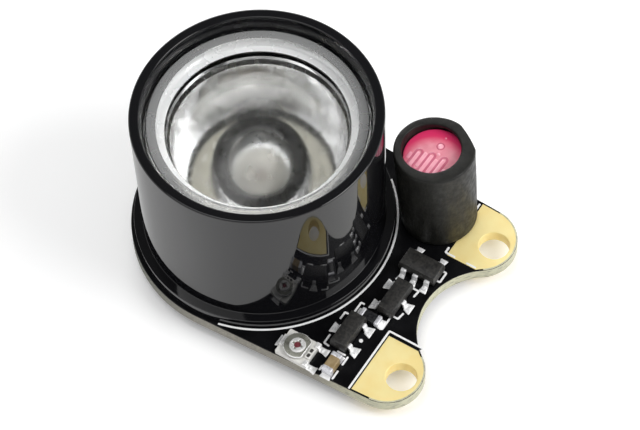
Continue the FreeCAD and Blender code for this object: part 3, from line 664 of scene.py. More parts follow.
def shrink_shape(x, y, z):
    """Slants the sleeve's top, shifts its lip, flattens one side and makes the tube a little uneven."""
    share = z / SLEEVE_LENGTH
    if share > LIP_START and math.hypot(x, y) < (LIP_RADIUS + SLEEVE_TOP_RADIUS) / 2:
        x += LIP_SHIFT[0]
        y += LIP_SHIFT[1]
    z = share * (SLEEVE_LENGTH - SLEEVE_SLOPE * y)
    side = Vector(polar(1.0, DENT_HEADING))
    excess = Vector((x, y)).dot(side) - DENT_REACH
    if excess > 0:
        push = side * (excess * max(share - DENT_START, 0.0))
        x, y = x - push.x, y - push.y
    across, along = WAVE_RATE
    wave = noise.noise(Vector((x * across, y * across, z * along + WAVE_PLACE)))
    scale = 1 - WAVE_DEPTH * abs(wave)
    sag = SAG_DEPTH * share * noise.noise(Vector((x * SAG_RATE, y * SAG_RATE, SAG_PLACE)))
    return x * scale, y * scale, z - abs(sag)


def make_sleeve():
    bm = bmesh.new()
    flare = SLEEVE_TOP_RADIUS - SLEEVE_FOOT_RADIUS
    wall = [(SLEEVE_FOOT_RADIUS + flare * share, SLEEVE_LENGTH * share) for share in shares(24)[1:-1]]
    crown = [
        (*wall[-1], 0), (SLEEVE_TOP_RADIUS, SLEEVE_LENGTH, 0.2), (LIP_RADIUS, SLEEVE_LENGTH, 0.16),
        (LIP_RADIUS, SLEEVE_LENGTH * LIP_FOOT, 0), (SLEEVE_BORE_RADIUS, SLEEVE_LENGTH * LIP_ROOT, 0),
    ]
    profile = [(SLEEVE_BORE_RADIUS, 0.0), (SLEEVE_FOOT_RADIUS - 0.05, 0.0), (SLEEVE_FOOT_RADIUS, 0.06)]
    profile += wall + rounded_profile(crown, closed=False)[1:]
    add_lathe(bm, profile, 128, shrink_shape)
    make_piece("sensor_sleeve_shrunk", bm, [SHRINK], ["sensor_sleeve"], matrix=sensor_axis())


# The sensor's face. Its winding runs up and down across the disc in three loops, each given
# as its middle across the legs and its top along them.
TRACK_TURN = -2.4
TRACK_LOOPS = ((-1.06, -0.1), (-0.14, 0.11), (0.78, 0.24))
TRACK_REACH = 2.0
LEG_PITCH = 0.46
TRACK_WIDTH = 0.16
FINGER_WIDTH = 0.27
TRACK_RELIEF = 0.04
FACE_ROOT = 0.01
# Spots on the face: place, radius
FACE_DOT = ((-0.02, 0.85), 0.21)
FACE_SPOTS = (((-0.05, 1.6), 0.08), ((0.19, 0.21), 0.12))


def leg_foot(across):
    return -math.sqrt(TRACK_REACH ** 2 - across ** 2)


def winding_path():
    """Up one leg of each loop, over its top and down the other, with bends below between loops."""
    half = LEG_PITCH / 2
    path = [(TRACK_LOOPS[0][0] - half, leg_foot(TRACK_LOOPS[0][0] - half))]
    for index, (middle, top) in enumerate(TRACK_LOOPS):
        path += arc((middle, top - half), half, 180, 0, 12)
        if index + 1 < len(TRACK_LOOPS):
            between = middle + LEG_PITCH
            path += arc((between, leg_foot(between) + 2 * half), half, 180, 360, 12)
    last = TRACK_LOOPS[-1][0] + half
    return path + [(last, leg_foot(last) + half)]


def finger_paths():
    """The pale strips inside each loop and between the loops."""
    paths = []
    for middle, top in TRACK_LOOPS:
        paths.append([(middle, leg_foot(middle) + 0.1), (middle, top - LEG_PITCH * 0.45)])
    for (middle, _), rise in zip(TRACK_LOOPS, (-0.1, -0.2, -0.6)):
        between = middle + LEG_PITCH
        paths.append([(between, leg_foot(between) + LEG_PITCH), (between, rise)])
    first = TRACK_LOOPS[0][0] - LEG_PITCH
    return paths + [[(first, leg_foot(first) + 0.1), (first, -0.6)]]


def make_sensor_disc():
    bm = bmesh.new()
    track, pale, dot = 1, 2, 3
    low, face = DISC_TOP - DISC_THICK, DISC_TOP - TRACK_RELIEF
    disc = [(0.0, low, 0), (DISC_RADIUS, low, 0), (DISC_RADIUS, face, 0.1), (0.0, face, 0)]
    add_lathe(bm, rounded_profile(disc), 96)

    def add_face_lines(part):
        stations = [(0.0, face - FACE_ROOT), (0.0, face + 0.015), (0.02, face + 0.025)]
        add_outline(part, ribbon(winding_path(), TRACK_WIDTH), stations, track)
        edge = (TRACK_RELIEF + FACE_ROOT) * 0.8
        stations = [(0.0, face - FACE_ROOT), (edge * 0.2, DISC_TOP - edge * 0.4), (edge, DISC_TOP)]
        for path in finger_paths():
            outline = rounded(ribbon(path, FINGER_WIDTH), FINGER_WIDTH * 0.42, steps=3)
            add_outline(part, outline, stations, pale)

    def add_round(spot, profile, steps, material):
        add_part(bm, at(*spot, face), add_lathe, profile, steps, zone=lambda *_: material)

    add_part(bm, at(turn=TRACK_TURN), add_face_lines)
    spot, radius = FACE_DOT
    collar = [(radius, -FACE_ROOT), (radius * 1.5, -FACE_ROOT), (radius * 1.4, 0.015), (radius, 0.02)]
    add_round(spot, collar, 40, track)
    for spot, radius in (FACE_DOT,) + FACE_SPOTS:
        add_round(spot, [(0.0, -FACE_ROOT)] + cap_points(radius, TRACK_RELIEF, 0.0, 6), 32, dot)
    make_piece("sensor_disc_coated", bm, [PINK, TRACK, PALE, DOT], ["sensor_disc"],
               matrix=sensor_axis())


# Trimmer

STOP_INNER = 0.83
STOP_HALF = 0.475
STOP_HEIGHT = 0.12
# The two dark pockets in the stop block: place, half sizes, and corner
POCKET_SPOT = (1.02, 0.21)
POCKET_HALF = (0.12, 0.15)
POCKET_CORNER = 0.08
TERMINAL_WIDTH = 0.45
TERMINAL_ROW = TRIMMER_WIDTH - TERMINAL_WIDTH
TERMINAL_THICK = 0.1
TERMINAL_LIP = 0.25
TERMINAL_BEND = 0.07
PLATE_EDGE = 0.04
SLOT_HALF = 0.08
SLOT_REACH = 0.4
SLOT_CENTER = 0.26
SLOT_EDGE = 0.02
SLOT_FLOOR = 0.03
CORE_RADIUS = 0.234
CORE_FLOOR = 0.015
PIN_RADIUS = 0.25
FLARE_RADIUS = 0.4
FLARE_LOW = 0.06
FLARE_HIGH = 0.16


def rotor_outline(inset=0.0):
    """A disc with one flat side."""
    radius, flat = ROTOR_RADIUS - inset, ROTOR_FLAT - inset
    limit = math.degrees(math.acos(flat / radius))
    return arc((0.0, 0.0), radius, limit, 360 - limit, 64)


def make_trimmer_base():
    bm = bmesh.new()
    half = TRIMMER_LENGTH / 2
    add_box(bm, half, TRIMMER_WIDTH / 2, 0.1, soft_edges(0.0, CERAMIC, PLATE_EDGE))
    block = [(STOP_INNER, -STOP_HALF), (half, -STOP_HALF), (half, STOP_HALF), (STOP_INNER, STOP_HALF)]
    add_plate(bm, rounded(block, 0.04), CERAMIC - 0.01, CERAMIC + STOP_HEIGHT, 0.025)
    pocket = box_outline(*POCKET_HALF, POCKET_CORNER)
    along, across = POCKET_SPOT
    for side in (-across, across):
        stations = [(0, 0), (0, STOP_HEIGHT + 0.002)]
        add_part(bm, at(along, side, CERAMIC), add_outline, pocket, stations, 1)
    make_piece("trimmer_base_fired", bm, [CERAMIC_WHITE, FILM], ["trimmer_base"],
               matrix=on_board(TRIMMER))


def terminal_outline(foot):
    """A terminal's side view: a lip on the plate, down its end, and a foot on the board."""
    half, middle = TRIMMER_LENGTH / 2, TERMINAL_THICK / 2
    path = [(half - TERMINAL_LIP, CERAMIC + middle), (half + middle, CERAMIC + middle),
            (half + middle, middle), (half + TERMINAL_THICK + foot, middle)]
    return ribbon(rounded(path, TERMINAL_BEND, closed=False), TERMINAL_THICK)


def make_trimmer_terminals():
    bm = bmesh.new()
    terminals = [(0.1, 2 * TERMINAL_WIDTH, 0.0, 180)]
    terminals += [(0.5, TERMINAL_WIDTH, across, 0) for across in spread(2, TERMINAL_ROW)]
    for foot, width, across, turn in terminals:
        place = at(0, across, 0, turn) @ upright()
        add_part(bm, place, add_plate, terminal_outline(foot), -width / 2, width / 2, 0.02)
    make_piece("trimmer_terminals_formed", bm, [TRIMMER_METAL], ["trimmer_terminals"],
               matrix=on_board(TRIMMER))


def slot_outline():
    """A cross with a round hole in its middle."""
    limit = math.degrees(math.asin(SLOT_HALF / SLOT_CENTER))
    lean = heading_of((SLOT_REACH, SLOT_HALF))
    tip = math.hypot(SLOT_HALF, SLOT_REACH)
    outline = []
    for heading in (0, 90, 180, 270):
        outline += [polar(tip, heading - lean), polar(tip, heading + lean)]
        outline += arc((0.0, 0.0), SLOT_CENTER, heading + limit, heading + 90 - limit, 6)
    return outline


def make_rotor():
    """The turning disc with a raised boss, a cross slot over a dark core and a riveted pin."""
    bm = bmesh.new()
    core, dull = 1, 2
    face = ROTOR_LOW + ROTOR_THICK
    top = face + BOSS_HEIGHT
    plate = add_stack(bm, rotor_outline, soft_edges(ROTOR_LOW, face, PLATE_EDGE), caps=False)
    add_cap(bm, [plate[0]], False)
    add_cap(bm, [plate[-1]], True, dull)
    boss = [(0.6, face), (0.565, face + 0.06), (0.55, top - 0.03), (0.52, top)]
    rings = [add_ring(bm, circle((0, 0), radius, 64), level) for radius, level in boss]
    for low, high in zip(rings, rings[1:]):
        add_wall(bm, low, high)
    slot = slot_outline()
    brim = add_ring(bm, offset(slot, -SLOT_EDGE), top)
    lip = add_ring(bm, slot, top - SLOT_EDGE)
    floor = add_ring(bm, slot, face + SLOT_FLOOR)
    add_wall(bm, brim, lip)
    add_wall(bm, lip, floor)
    add_cap(bm, [rings[-1], brim], True)
    hole = add_ring(bm, circle((0, 0), CORE_RADIUS, 32), face + SLOT_FLOOR)
    hole_floor = add_ring(bm, circle((0, 0), CORE_RADIUS, 32), face + CORE_FLOOR)
    add_cap(bm, [floor, hole], True, dull)
    add_wall(bm, hole, hole_floor, core)
    add_cap(bm, [hole_floor], True, core)
    root = ROTOR_LOW + 0.02
    pin = [(0.0, FLARE_LOW), (FLARE_RADIUS, FLARE_LOW), (FLARE_RADIUS, FLARE_HIGH), (PIN_RADIUS, FLARE_HIGH),
           (PIN_RADIUS, root), (0.0, root)]
    add_lathe(bm, pin, 32)
    make_piece("trimmer_rotor_stamped", bm, [TRIMMER_METAL, DARK_CORE, ROTOR_FACE],
               ["trimmer_rotor"], body="rotor", matrix=on_board(TRIMMER))


# Chips, end-capped parts and solder

CHIPS = (
    # name, spot, turn, width, length, span, leads on its +X side, on its -X side, solder width
    ("driver_chip", (-3.3, 1.85), -90, 1.6, 2.95, 2.8, 3, 2, 0.6),
    ("switch_transistor", (-3.55, -1.3), 0, 1.3, 2.9, 2.4, 1, 2, 0.9),
    ("sense_transistor", (-4.9, -5.3), 0, 1.3, 2.9, 2.4, 2, 1, 0.9),
)
END_PARTS = (
    # name, the body's slot, spot, turn, height, cap length
    ("resistor", "resistor_glaze", (-4.3, -3.4), 0, 0.45, 0.32),
    ("capacitor", "capacitor_ceramic", (-4.51, -8.06), 90, 0.8, 0.36),
)
CAP_WRAP = 0.03
CAP_OVERLAP = 0.02
CAP_EDGE = 0.07
# How hollow a fillet of solder is, as a power of the way along it
SOLDER_SAG = 1.7
# The cone of solder round a sensor wire: height, and radii at its foot, its tip and inside
CONE_HEIGHT = 0.6
CONE_RADII = (0.62, 0.26, 0.15)
CONE_SAG = 0.55
TAIL_REACH = 0.85


def spread(count, row=LEAD_ROW):
    if count == 1:
        return [0.0]
    return [row * (number / (count - 1) - 0.5) for number in range(count)]


def make_chip(name, spot, turn, width, length):
    """A moulded body that narrows up and down from the line where its leads come out."""
    bm = bmesh.new()
    low_inset = (LEAD_LEVEL - CHIP_LIFT) * CHIP_DRAFT
    high_inset = (CHIP_HEIGHT - LEAD_LEVEL) * CHIP_DRAFT
    stations = [(low_inset + 0.04, CHIP_LIFT), (low_inset, CHIP_LIFT + 0.04), (0.0, LEAD_LEVEL - 0.02),
                (0.0, LEAD_LEVEL + 0.02), (high_inset, CHIP_HEIGHT - 0.05),
                (high_inset + 0.015, CHIP_HEIGHT - 0.015), (high_inset + 0.05, CHIP_HEIGHT)]
    add_box(bm, width / 2, length / 2, 0.05, stations)
    make_piece(f"{name}_moulded", bm, [MOULD], [name], matrix=on_board(spot, turn))


def lead_outline(width, span):
    root, tip = width / 2, span / 2
    heel = tip - LEAD_FOOT
    fold = root + (heel - root) * 0.45
    half = LEAD_THICK / 2
    path = [(root - 0.02, LEAD_LEVEL), (fold + 0.04, LEAD_LEVEL), (heel + 0.02, half), (tip, half)]
    return ribbon(rounded(path, 0.12, closed=False), LEAD_THICK)


def lead_places(plus_count, minus_count):
    """Where the leads are on the +X side and on the -X side, each one pointing along its own +X."""
    sides = ((plus_count, 0), (minus_count, 180))
    return [at(turn=heading) @ at(0, across) for count, heading in sides for across in spread(count)]


def make_chip_leads(name, spot, turn, width, span, *counts):
    bm = bmesh.new()
    outline = lead_outline(width, span)
    for place in lead_places(*counts):
        add_part(bm, place @ upright(), add_plate, outline, -LEAD_WIDTH / 2, LEAD_WIDTH / 2, 0.02)
    make_piece(f"{name}_formed", bm, [TINNED], [name], matrix=on_board(spot, turn))


def fillet_stations(start, end, near_half, far_half, near_high, far_high, steps=8):
    """Solder that widens and thins out away from a part."""
    stations = [(start - 0.02, near_half * 0.7, 0.02)]
    for share in shares(steps):
        half = near_half + (far_half - near_half) * share
        high = far_high + (near_high - far_high) * (1 - share) ** SOLDER_SAG
        stations.append((start + (end - start) * share, half, high))
    return stations + [(end + 0.04, far_half * 0.92, 0.02)]


def make_solder():
    bm = bmesh.new()

    def lump(place, *sizes):
        add_part(bm, place, add_blob, fillet_stations(*sizes))

    for _, spot, turn, _, _, span, plus_count, minus_count, wide in CHIPS:
        reach = span / 2
        for place in lead_places(plus_count, minus_count):
            place = on_board(spot, turn) @ place
            lump(place, reach - 0.33, reach + 0.13, wide / 3, wide / 2, 0.2, 0.06)
    half = END_PART_LENGTH / 2
    for _, _, spot, turn, high, _ in END_PARTS:
        for heading in (turn, turn + 180):
            high_end = min(0.5 * high, 0.24)
            lump(on_board(spot, heading), half - 0.02, half + 0.24, 0.36, 0.42, high_end, 0.05)
    for across in spread(2, TERMINAL_ROW):
        lump(on_board(TRIMMER) @ at(0, across), 1.55, 1.95, 0.2, 0.32, 0.18, 0.05)
    lump(on_board(TRIMMER, 180), 1.4, 1.58, 0.42, 0.5, 0.2, 0.05)
    for heading in (90, 270):
        lump(on_board(LENS_AXIS, heading), 6.35, 6.8, 0.7, 0.8, 0.25, 0.06)
    make_piece("solder_joints_wetted", bm, [SOLDER], ["solder_joints"])


def make_end_part(name, slot, spot, turn, high, cap, look):
    """A resistor's or capacitor's body, and the two caps round its ends."""
    half, wide = END_PART_LENGTH / 2, END_PART_WIDTH / 2
    place = on_board(spot, turn)
    bm = bmesh.new()
    inner = half - cap + CAP_OVERLAP
    add_stack(bm, lambda inset: box_outline(inner - inset * 0.1, wide - CAP_WRAP - inset, 0.04),
              soft_edges(CAP_WRAP, high - CAP_WRAP, 0.04))
    make_piece(f"{name}_body_fired", bm, [look], [f"{name}_body"], matrix=place)
    bm = bmesh.new()
    for middle in (cap / 2 - half, half - cap / 2):
        add_part(bm, at(middle), add_box, cap / 2, wide, CAP_EDGE, soft_edges(0.0, high, CAP_EDGE))
    make_piece(f"{name}_caps_plated", bm, [END_METAL], [f"{name}_caps"], matrix=place)


def make_sensor_tails():
    """The wires below the board and the solder round them."""
    bm = bmesh.new()
    tail, top = SLEEVE_LIFT + BOARD_TOP + TAIL_REACH, DISC_TOP - DISC_THICK
    wire = [(0.0, -tail, 0), (LEAD_RADIUS, -tail, 0.06), (LEAD_RADIUS, top, 0), (0.0, top, 0)]
    for across in spread(2, LEAD_PITCH):
        add_part(bm, at(0, across), add_lathe, rounded_profile(wire, closed=False), 32)
    make_piece("sensor_leads_drawn", bm, [WIRE], ["sensor_leads"], matrix=sensor_axis())

    bm = bmesh.new()
    foot, tip, inner = CONE_RADII
    slope = [(foot + (tip - foot) * share ** CONE_SAG, -CONE_HEIGHT * share) for share in shares(10)[::-1]]
    profile = [(inner, -CONE_HEIGHT)] + slope + [(inner, 0.0)]
    for across in spread(2, LEAD_PITCH):
        add_part(bm, at(*SENSOR) @ at(0, across), add_lathe, profile, 40)
    make_piece("sensor_solder_wetted", bm, [SOLDER], ["sensor_solder"])


def dress_cad_nodes():
    """Materials for the CAD nodes that stay as they are."""
    looks = {"led_slug": LED_METAL, "led_leads": TINNED, "led_die": CHIP_FACE, "trimmer_track": FILM}
    for node, look in looks.items():
        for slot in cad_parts[node].material_slots:
            slot.material = look.material


# Materials. Colours are linear, and the sizes of grain and relief are in millimetres.

def fill(node, **inputs):
    """Puts values in a node's sockets, whose names have underscores here for their spaces."""
    for socket, value in inputs.items():
        node.inputs[socket.replace("_", " ")].default_value = value
    return node


def add_node(tree, kind, **inputs):
    return fill(tree.nodes.new(kind), **inputs)


class Look:
    """A material with a Principled shader, and steps that give it detail and return it.

    A step's source is a texture, or the size of a grain, or all the values that grain takes."""

    def __init__(self, name, color, roughness, metallic=0.0, ior=1.5):
        self.material = bpy.data.materials.new(name)
        self.material.use_nodes = True
        self.tree = self.material.node_tree
        self.shader = self.tree.nodes["Principled BSDF"]
        self.set(Base_Color=(*color, 1.0), Roughness=roughness, Metallic=metallic, IOR=ior)
        self.color = color
        self.relief = None

    def set(self, **inputs):
        fill(self.shader, **inputs)
        return self

    def node(self, kind, **inputs):
        return add_node(self.tree, kind, **inputs)

    def link(self, source, target):
        """Links a texture's socket, or a grain of the given size or values, to the target."""
        if isinstance(source, tuple):
            source = self.grain(*source)
        elif isinstance(source, float):
            source = self.grain(source)
        self.tree.links.new(source, target)

    def place(self, stretch=(1.0, 1.0, 1.0), turn=0.0):
        """The place in the frame, in millimetres."""
        coordinates = self.node("ShaderNodeTexCoord")
        scale = Vector(stretch) / MM
        mapping = self.node("ShaderNodeMapping", Scale=scale, Rotation=(0, 0, math.radians(turn)))
        self.link(coordinates.outputs["Object"], mapping.inputs["Vector"])
        return mapping.outputs["Vector"]

    def grain(self, size, detail=3.0, stretch=(1.0, 1.0, 1.0), turn=0.0):
        """Noise whose features are about size millimetres."""
        texture = self.node("ShaderNodeTexNoise", Scale=1 / size, Detail=detail)
        self.link(self.place(stretch, turn), texture.inputs["Vector"])
        return texture.outputs["Fac"]

    def cells(self, size):
        texture = self.node("ShaderNodeTexVoronoi", Scale=1 / size)
        self.link(self.place(), texture.inputs["Vector"])
        return texture.outputs["Distance"]

    def distance(self, spot):
        """Distance in millimetres from a spot in the frame."""
        span = self.node("ShaderNodeVectorMath")
        span.operation = "DISTANCE"
        span.inputs[1].default_value = spot
        self.link(self.place(), span.inputs[0])
        return span.outputs["Value"]

    def rings(self, spot, size):
        """Uneven circles round a spot in the frame, about size millimetres wide."""
        texture = self.node("ShaderNodeTexNoise", Scale=1 / size, Detail=1.0)
        texture.noise_dimensions = "1D"
        self.link(self.distance(spot), texture.inputs["W"])
        return texture.outputs["Fac"]

    def ranged(self, source, low, high, start=0.35, end=0.65):
        node = self.node("ShaderNodeMapRange", From_Min=start, From_Max=end, To_Min=low, To_Max=high)
        self.link(source, node.inputs["Value"])
        return node.outputs["Result"]

    def vary_color(self, source, other, start=0.35, end=0.65):
        """Blends from the colour toward another as source goes from start to end."""
        blend = self.node("ShaderNodeMix")
        blend.data_type = "RGBA"
        blend.inputs[6].default_value = (*self.color, 1.0)
        blend.inputs[7].default_value = (*other, 1.0)
        base = self.shader.inputs["Base Color"]
        if base.links:
            self.link(base.links[0].from_socket, blend.inputs[6])
        self.link(self.ranged(source, 0.0, 1.0, start, end), blend.inputs[0])
        self.link(blend.outputs[2], base)
        return self

    def vary_roughness(self, source, low, high):
        self.link(self.ranged(source, low, high), self.shader.inputs["Roughness"])
        return self

    def bump(self, source, height, strength=1.0):
        """Relief of the given height in millimetres."""
        node = self.node("ShaderNodeBump", Strength=strength, Distance=height * MM)
        self.link(source, node.inputs["Height"])
        if self.relief:
            self.link(self.relief, node.inputs["Normal"])
        self.relief = node.outputs["Normal"]
        self.link(self.relief, self.shader.inputs["Normal"])
        return self


def speckled(name, color, roughness, patch, other, grain, height, strength=0.6):
    """A plain material with patches of another colour and a fine grain."""
    return Look(name, color, roughness).vary_color(patch, other).bump(grain, height, strength)


def lens_plastic(name, clearness, low_roughness, high_roughness, level=None):
    """Clear moulded plastic. What isn't clearness is a whitish bloom. level is where rings are cut."""
    look = Look(name, (0.97, 0.98, 0.98), low_roughness, 0.0, 1.49).set(Transmission_Weight=clearness)
    look.vary_roughness(1.2, low_roughness, high_roughness)
    if level:
        look.set(Specular_IOR_Level=1.0)
        look.bump(look.rings((*LENS_AXIS, BOARD_TOP + level), 0.2), 0.02, 0.6)
    return look.bump((2.0, 1.0), 0.004, 0.25)


# The middle of the painted reflection on the sensor face, and the distances over which it fades to crimson
PAINTED_REFLECTION_SPOT = (SENSOR[0], SENSOR[1] - 0.85, 8.4)
PAINTED_REFLECTION_FADE = (1.6, 2.35)


def face_lacquer(name, color, other, edge_color):
    """Lacquered sensor face: crimson toward its far edge, and pale pink over the rest, which is a painted
    reflection in its coat.
    """
    look = Look(name, color, 0.3).vary_color(0.5, other)
    look.vary_color(look.distance(PAINTED_REFLECTION_SPOT), edge_color, *PAINTED_REFLECTION_FADE)
    return look.set(Coat_Weight=1.0, Coat_Roughness=0.05).bump(0.3, 0.008, 0.4)


def bright_metal(name, color, roughness, grain, height, metallic=1.0):
    """Metal whose sheen and colour are a little uneven. A low metallic keeps it pale in a dark room."""
    look = Look(name, color, roughness, metallic)
    look.vary_roughness(grain * 2, roughness * 0.75, roughness * 1.5)
    return look.vary_color(grain * 3, [part * 0.8 for part in color]).bump(grain, height, 0.7)


MASK = Look("solder_mask", (0.003, 0.003, 0.0035), 0.18).set(Specular_IOR_Level=0.22)
MASK.vary_roughness(0.9, 0.14, 0.26).vary_color(1.7, (0.006, 0.006, 0.007))
MASK.bump(0.35, 0.006, 0.5).bump((2.2, 1.0), 0.02, 0.35)

# The board's cut edge: pale by the holes, grey-beige along the sides and dark at the far end. The pale edge
# by the holes is painted light, and the dark far end is painted shade.
LAMINATE = Look("laminate_edge", (0.62, 0.61, 0.44), 0.62)
LAMINATE.vary_color(LAMINATE.distance((0.0, 0.0, 0.5)), (0.3, 0.28, 0.24), 9.0, 10.5)
LAMINATE.vary_color(LAMINATE.distance((0.0, 0.0, 0.5)), (0.11, 0.12, 0.1), 17.0, 22.5)
LAMINATE.vary_color((0.5, 4.0, (1.0, 1.0, 5.0)), (0.14, 0.14, 0.12), 0.5, 0.8)
LAMINATE.vary_color((0.14, 2.0, (1.0, 1.0, 3.0)), (0.55, 0.52, 0.4), 0.55, 0.75)
LAMINATE.bump((0.1, 4.0, (1.0, 1.0, 2.5)), 0.04, 0.8)

GOLD = Look("gold_plate", (1.0, 0.85, 0.4), 0.4, 0.15)
GOLD.vary_color(1.4, (0.98, 0.79, 0.33)).vary_roughness(0.5, 0.36, 0.48)
GOLD.bump(0.08, 0.004, 0.6).bump((0.5, 2.0, (1.0, 6.0, 1.0), 40.0), 0.006, 0.3)

SILK = Look("silk_ink", (0.95, 0.95, 0.95), 0.5)
SILK.vary_color(0.3, (0.8, 0.81, 0.82), 0.55, 0.8).bump(0.12, 0.008, 0.7)

HOLDER = Look("holder_plastic", (0.005, 0.005, 0.006), 0.04, 0.0, 1.52)
HOLDER.vary_roughness(2.5, 0.025, 0.06).bump(0.4, 0.0015, 0.4).bump((6.0, 1.0), 0.01, 0.25)

CLEAR = lens_plastic("clear_lens", 1.0, 0.01, 0.03)
LENS_RIM = lens_plastic("lens_rim", 0.75, 0.2, 0.3, LENS_TOP)
LENS_RING = lens_plastic("lens_ring", 0.26, 0.2, 0.32, LENS_STEP)
LENS_DOME = lens_plastic("lens_dome", 1.0, 0.14, 0.18)
LENS_ROOF = lens_plastic("lens_roof", 1.0, 0.26, 0.32)

# The moulded outside of the lens has streaks that run up it.
LENS_CONE = Look("lens_cone", (0.98, 0.97, 0.9), 0.2, 0.0, 1.49).set(Transmission_Weight=0.95)
LENS_CONE.vary_roughness((0.8, 2.0, (1.0, 1.0, 0.15)), 0.1, 0.35)
LENS_CONE.bump((0.7, 2.0, (1.0, 1.0, 0.12)), 0.015, 0.6)

SILICONE = Look("silicone", (0.98, 0.96, 0.92), 0.12, 0.0, 1.41).set(Transmission_Weight=0.87)
SILICONE.vary_roughness(0.8, 0.08, 0.14).bump((0.8, 1.0), 0.004, 0.4)

CHIP_FACE = Look("led_chip", (0.09, 0.07, 0.08), 0.25, 0.6)
CHIP_FACE.vary_color(CHIP_FACE.cells(0.16), (0.35, 0.28, 0.2), 0.2, 0.5).bump(0.1, 0.004, 0.5)

SHRINK = Look("heat_shrink", (0.006, 0.006, 0.005), 0.5).set(Specular_IOR_Level=0.28)
SHRINK.vary_color(0.7, (0.012, 0.012, 0.01)).vary_roughness(0.4, 0.4, 0.6)
SHRINK.bump((0.16, 4.0, (1.0, 1.0, 0.5)), 0.02, 0.6).bump((1.4, 2.0, (1.0, 1.0, 0.35)), 0.06, 0.5)

# Each face look below takes two pale colours that carry the painted reflection, and the crimson it fades to
# toward the far edge.
CRIMSON = (0.82, 0.035, 0.15)
PINK = face_lacquer("sensor_face", (0.86, 0.33, 0.4), (0.8, 0.26, 0.33), CRIMSON)
TRACK = face_lacquer("sensor_winding", (0.66, 0.15, 0.24), (0.6, 0.12, 0.2), (0.6, 0.04, 0.12))
PALE = face_lacquer("sensor_strips", (0.95, 0.42, 0.52), (0.92, 0.36, 0.46), (0.85, 0.14, 0.28))
DOT = face_lacquer("sensor_dot", (1.0, 0.48, 0.57), (0.98, 0.42, 0.52), (0.95, 0.3, 0.42))

MOULD = Look("chip_mould", (0.009, 0.009, 0.009), 0.4).vary_color(0.16, (0.036, 0.034, 0.031))
MOULD.vary_roughness(0.3, 0.32, 0.5).bump((0.07, 4.0), 0.016, 0.8)

LED_WHITE = speckled("led_white", (0.78, 0.76, 0.7), 0.5, 0.6, (0.7, 0.68, 0.6), 0.15, 0.01, 0.5)
CERAMIC_WHITE = speckled("white_ceramic", (0.8, 0.79, 0.76), 0.42, 0.4, (0.7, 0.69, 0.65), 0.08, 0.006)
FILM = speckled("resistive_film", (0.03, 0.028, 0.026), 0.6, 0.1, (0.05, 0.045, 0.04), 0.06, 0.004)
DARK_CORE = speckled("dark_core", (0.12, 0.01, 0.022), 0.35, 0.1, (0.2, 0.05, 0.06), 0.06, 0.006)
GLAZE = speckled("resistor_glaze", (0.012, 0.012, 0.014), 0.2, 0.2, (0.03, 0.03, 0.032), 0.15, 0.008)
TAN = speckled("capacitor_tan", (0.27, 0.19, 0.085), 0.38, 0.3, (0.36, 0.27, 0.15), 0.08, 0.008)

LED_METAL = bright_metal("led_metal", (0.7, 0.69, 0.66), 0.3, 0.3, 0.006)
TINNED = bright_metal("tinned_lead", (0.97, 0.97, 0.98), 0.2, 0.2, 0.006, 0.3)
WIRE = bright_metal("tinned_wire", (0.82, 0.82, 0.83), 0.2, 0.25, 0.006)
SOLDER = bright_metal("solder", (1.0, 1.0, 1.0), 0.25, 0.25, 0.01, 0.15)
END_METAL = bright_metal("end_metal", (0.8, 0.8, 0.84), 0.26, 0.15, 0.01, 0.4)
TRIMMER_METAL = bright_metal("trimmer_metal", (0.97, 0.97, 0.96), 0.2, 0.2, 0.008, 0.35)
ROTOR_FACE = bright_metal("rotor_face", (0.36, 0.36, 0.31), 0.28, 0.25, 0.01, 0.6)


# Floor, light and camera. The floor and the lamps are in metres.

FLOOR_SIZE = 1.2
FLOOR_GLOW = 0.17
CAMERA_SPOT = (69.337, -113.240, 222.086 + BOARD_TOP)
CAMERA_TURN = (32.3733, 1.8135, 32.3148)
CAMERA_LENS = 207.92
AMBIENT = 0.5
SIDE_LEVEL = 1.0
CEILING_LEVEL = 0.1
# How high in a view of the room, from 0 at its horizon to 1 overhead, the sides turn to ceiling
CEILING_RISE = (0.45, 0.75)
LAMPS = (
    # name, place, target, width, power
    ("key", (-0.1, -0.05, 0.55), (-0.01, 0.0, 0.0), 0.34, 0.68),
    ("fill", (0.34, 0.1, 0.32), (-0.01, 0.0, 0.0), 0.3, 1.4),
    ("back", (-0.25, 0.28, 0.18), (-0.015, 0.0, 0.0), 0.24, 0.5),
)


def level_by_ray(tree, socket, plain, seen):
    """Gives the socket one value for the object's light and another where it is seen or reflected.

    Returns the socket of the value that reflections show."""
    path = add_node(tree, "ShaderNodeLightPath")
    levels = []
    for ray in ("Is Glossy Ray", "Is Transmission Ray", "Is Camera Ray"):
        level = add_node(tree, "ShaderNodeMapRange", To_Min=plain, To_Max=seen)
        tree.links.new(path.outputs[ray], level.inputs["Value"])
        if levels:
            tree.links.new(levels[-1].outputs["Result"], level.inputs["To Min"])
        levels.append(level)
    tree.links.new(levels[-1].outputs["Result"], socket)
    return levels[0].inputs["To Max"]


def make_floor():
    low = CAD_BOX[0][2]
    mesh = bpy.data.meshes.new("floor")
    reach = FLOOR_SIZE / 2
    corners = [(*corner, low) for corner in box_outline(reach, reach, 0)]
    mesh.from_pydata(corners, [], [(0, 1, 2, 3)])
    look = Look("floor_paper", (0.93, 0.93, 0.93), 0.7).set(Emission_Color=(1.0, 1.0, 1.0, 1.0))
    look.vary_color((60.0, 1.0), (0.92, 0.922, 0.925))
    level_by_ray(look.tree, look.shader.inputs["Emission Strength"], 0.0, FLOOR_GLOW)
    mesh.materials.append(look.material)
    floor = add_object("floor", mesh)


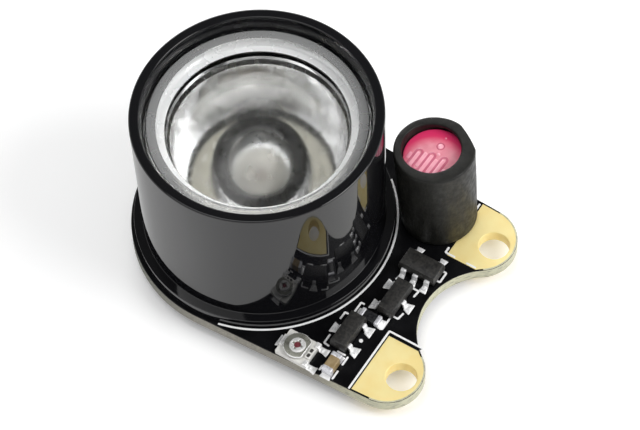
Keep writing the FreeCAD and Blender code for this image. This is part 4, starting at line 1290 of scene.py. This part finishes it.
def make_world():
    """A room whose light on the object is even. Reflections show white sides and a dark ceiling."""
    world = bpy.data.worlds.new("room")
    world.use_nodes = True
    tree = world.node_tree
    background = fill(tree.nodes["Background"], Color=(1.0, 1.0, 1.0, 1.0))
    reflected = level_by_ray(tree, background.inputs["Strength"], AMBIENT, SIDE_LEVEL)
    heading = add_node(tree, "ShaderNodeTexCoord")
    parts = add_node(tree, "ShaderNodeSeparateXYZ")
    start, end = CEILING_RISE
    rise = add_node(tree, "ShaderNodeMapRange", From_Min=start, From_Max=end, To_Min=SIDE_LEVEL,
                    To_Max=CEILING_LEVEL)
    tree.links.new(heading.outputs["Generated"], parts.inputs["Vector"])
    tree.links.new(parts.outputs["Z"], rise.inputs["Value"])
    tree.links.new(rise.outputs["Result"], reflected)
    bpy.context.scene.world = world


def make_lamp(name, spot, target, width, power):
    data = bpy.data.lights.new(name, "AREA")
    data.shape = "DISK"
    data.size = width
    data.energy = power
    lamp = add_object(name, data)
    lamp.location = spot
    lamp.rotation_euler = (Vector(target) - Vector(spot)).to_track_quat("-Z", "Y").to_euler()


def make_camera():
    data = bpy.data.cameras.new("camera")
    data.lens = CAMERA_LENS
    data.sensor_width = 36.0
    data.clip_start = 0.01
    camera = add_object("camera", data)
    camera.location = Vector(CAMERA_SPOT) * MM
    camera.rotation_euler = [math.radians(angle) for angle in CAMERA_TURN]
    bpy.context.scene.camera = camera


bpy.context.scene.view_settings.view_transform = "Standard"
make_camera()
make_floor()
make_world()
for lamp in LAMPS:
    make_lamp(*lamp)

make_board()
make_contact_pads()
make_silk()
make_holder()
make_lens()
make_led()
make_sleeve()
make_sensor_disc()
make_sensor_tails()
make_trimmer_base()
make_trimmer_terminals()
make_rotor()
for name, spot, turn, width, length, span, plus_count, minus_count, _ in CHIPS:
    make_chip(name, spot, turn, width, length)
    make_chip_leads(f"{name}_leads", spot, turn, width, span, plus_count, minus_count)
for end_part, look in zip(END_PARTS, (GLAZE, TAN)):
    make_end_part(*end_part, look)
make_solder()
dress_cad_nodes()
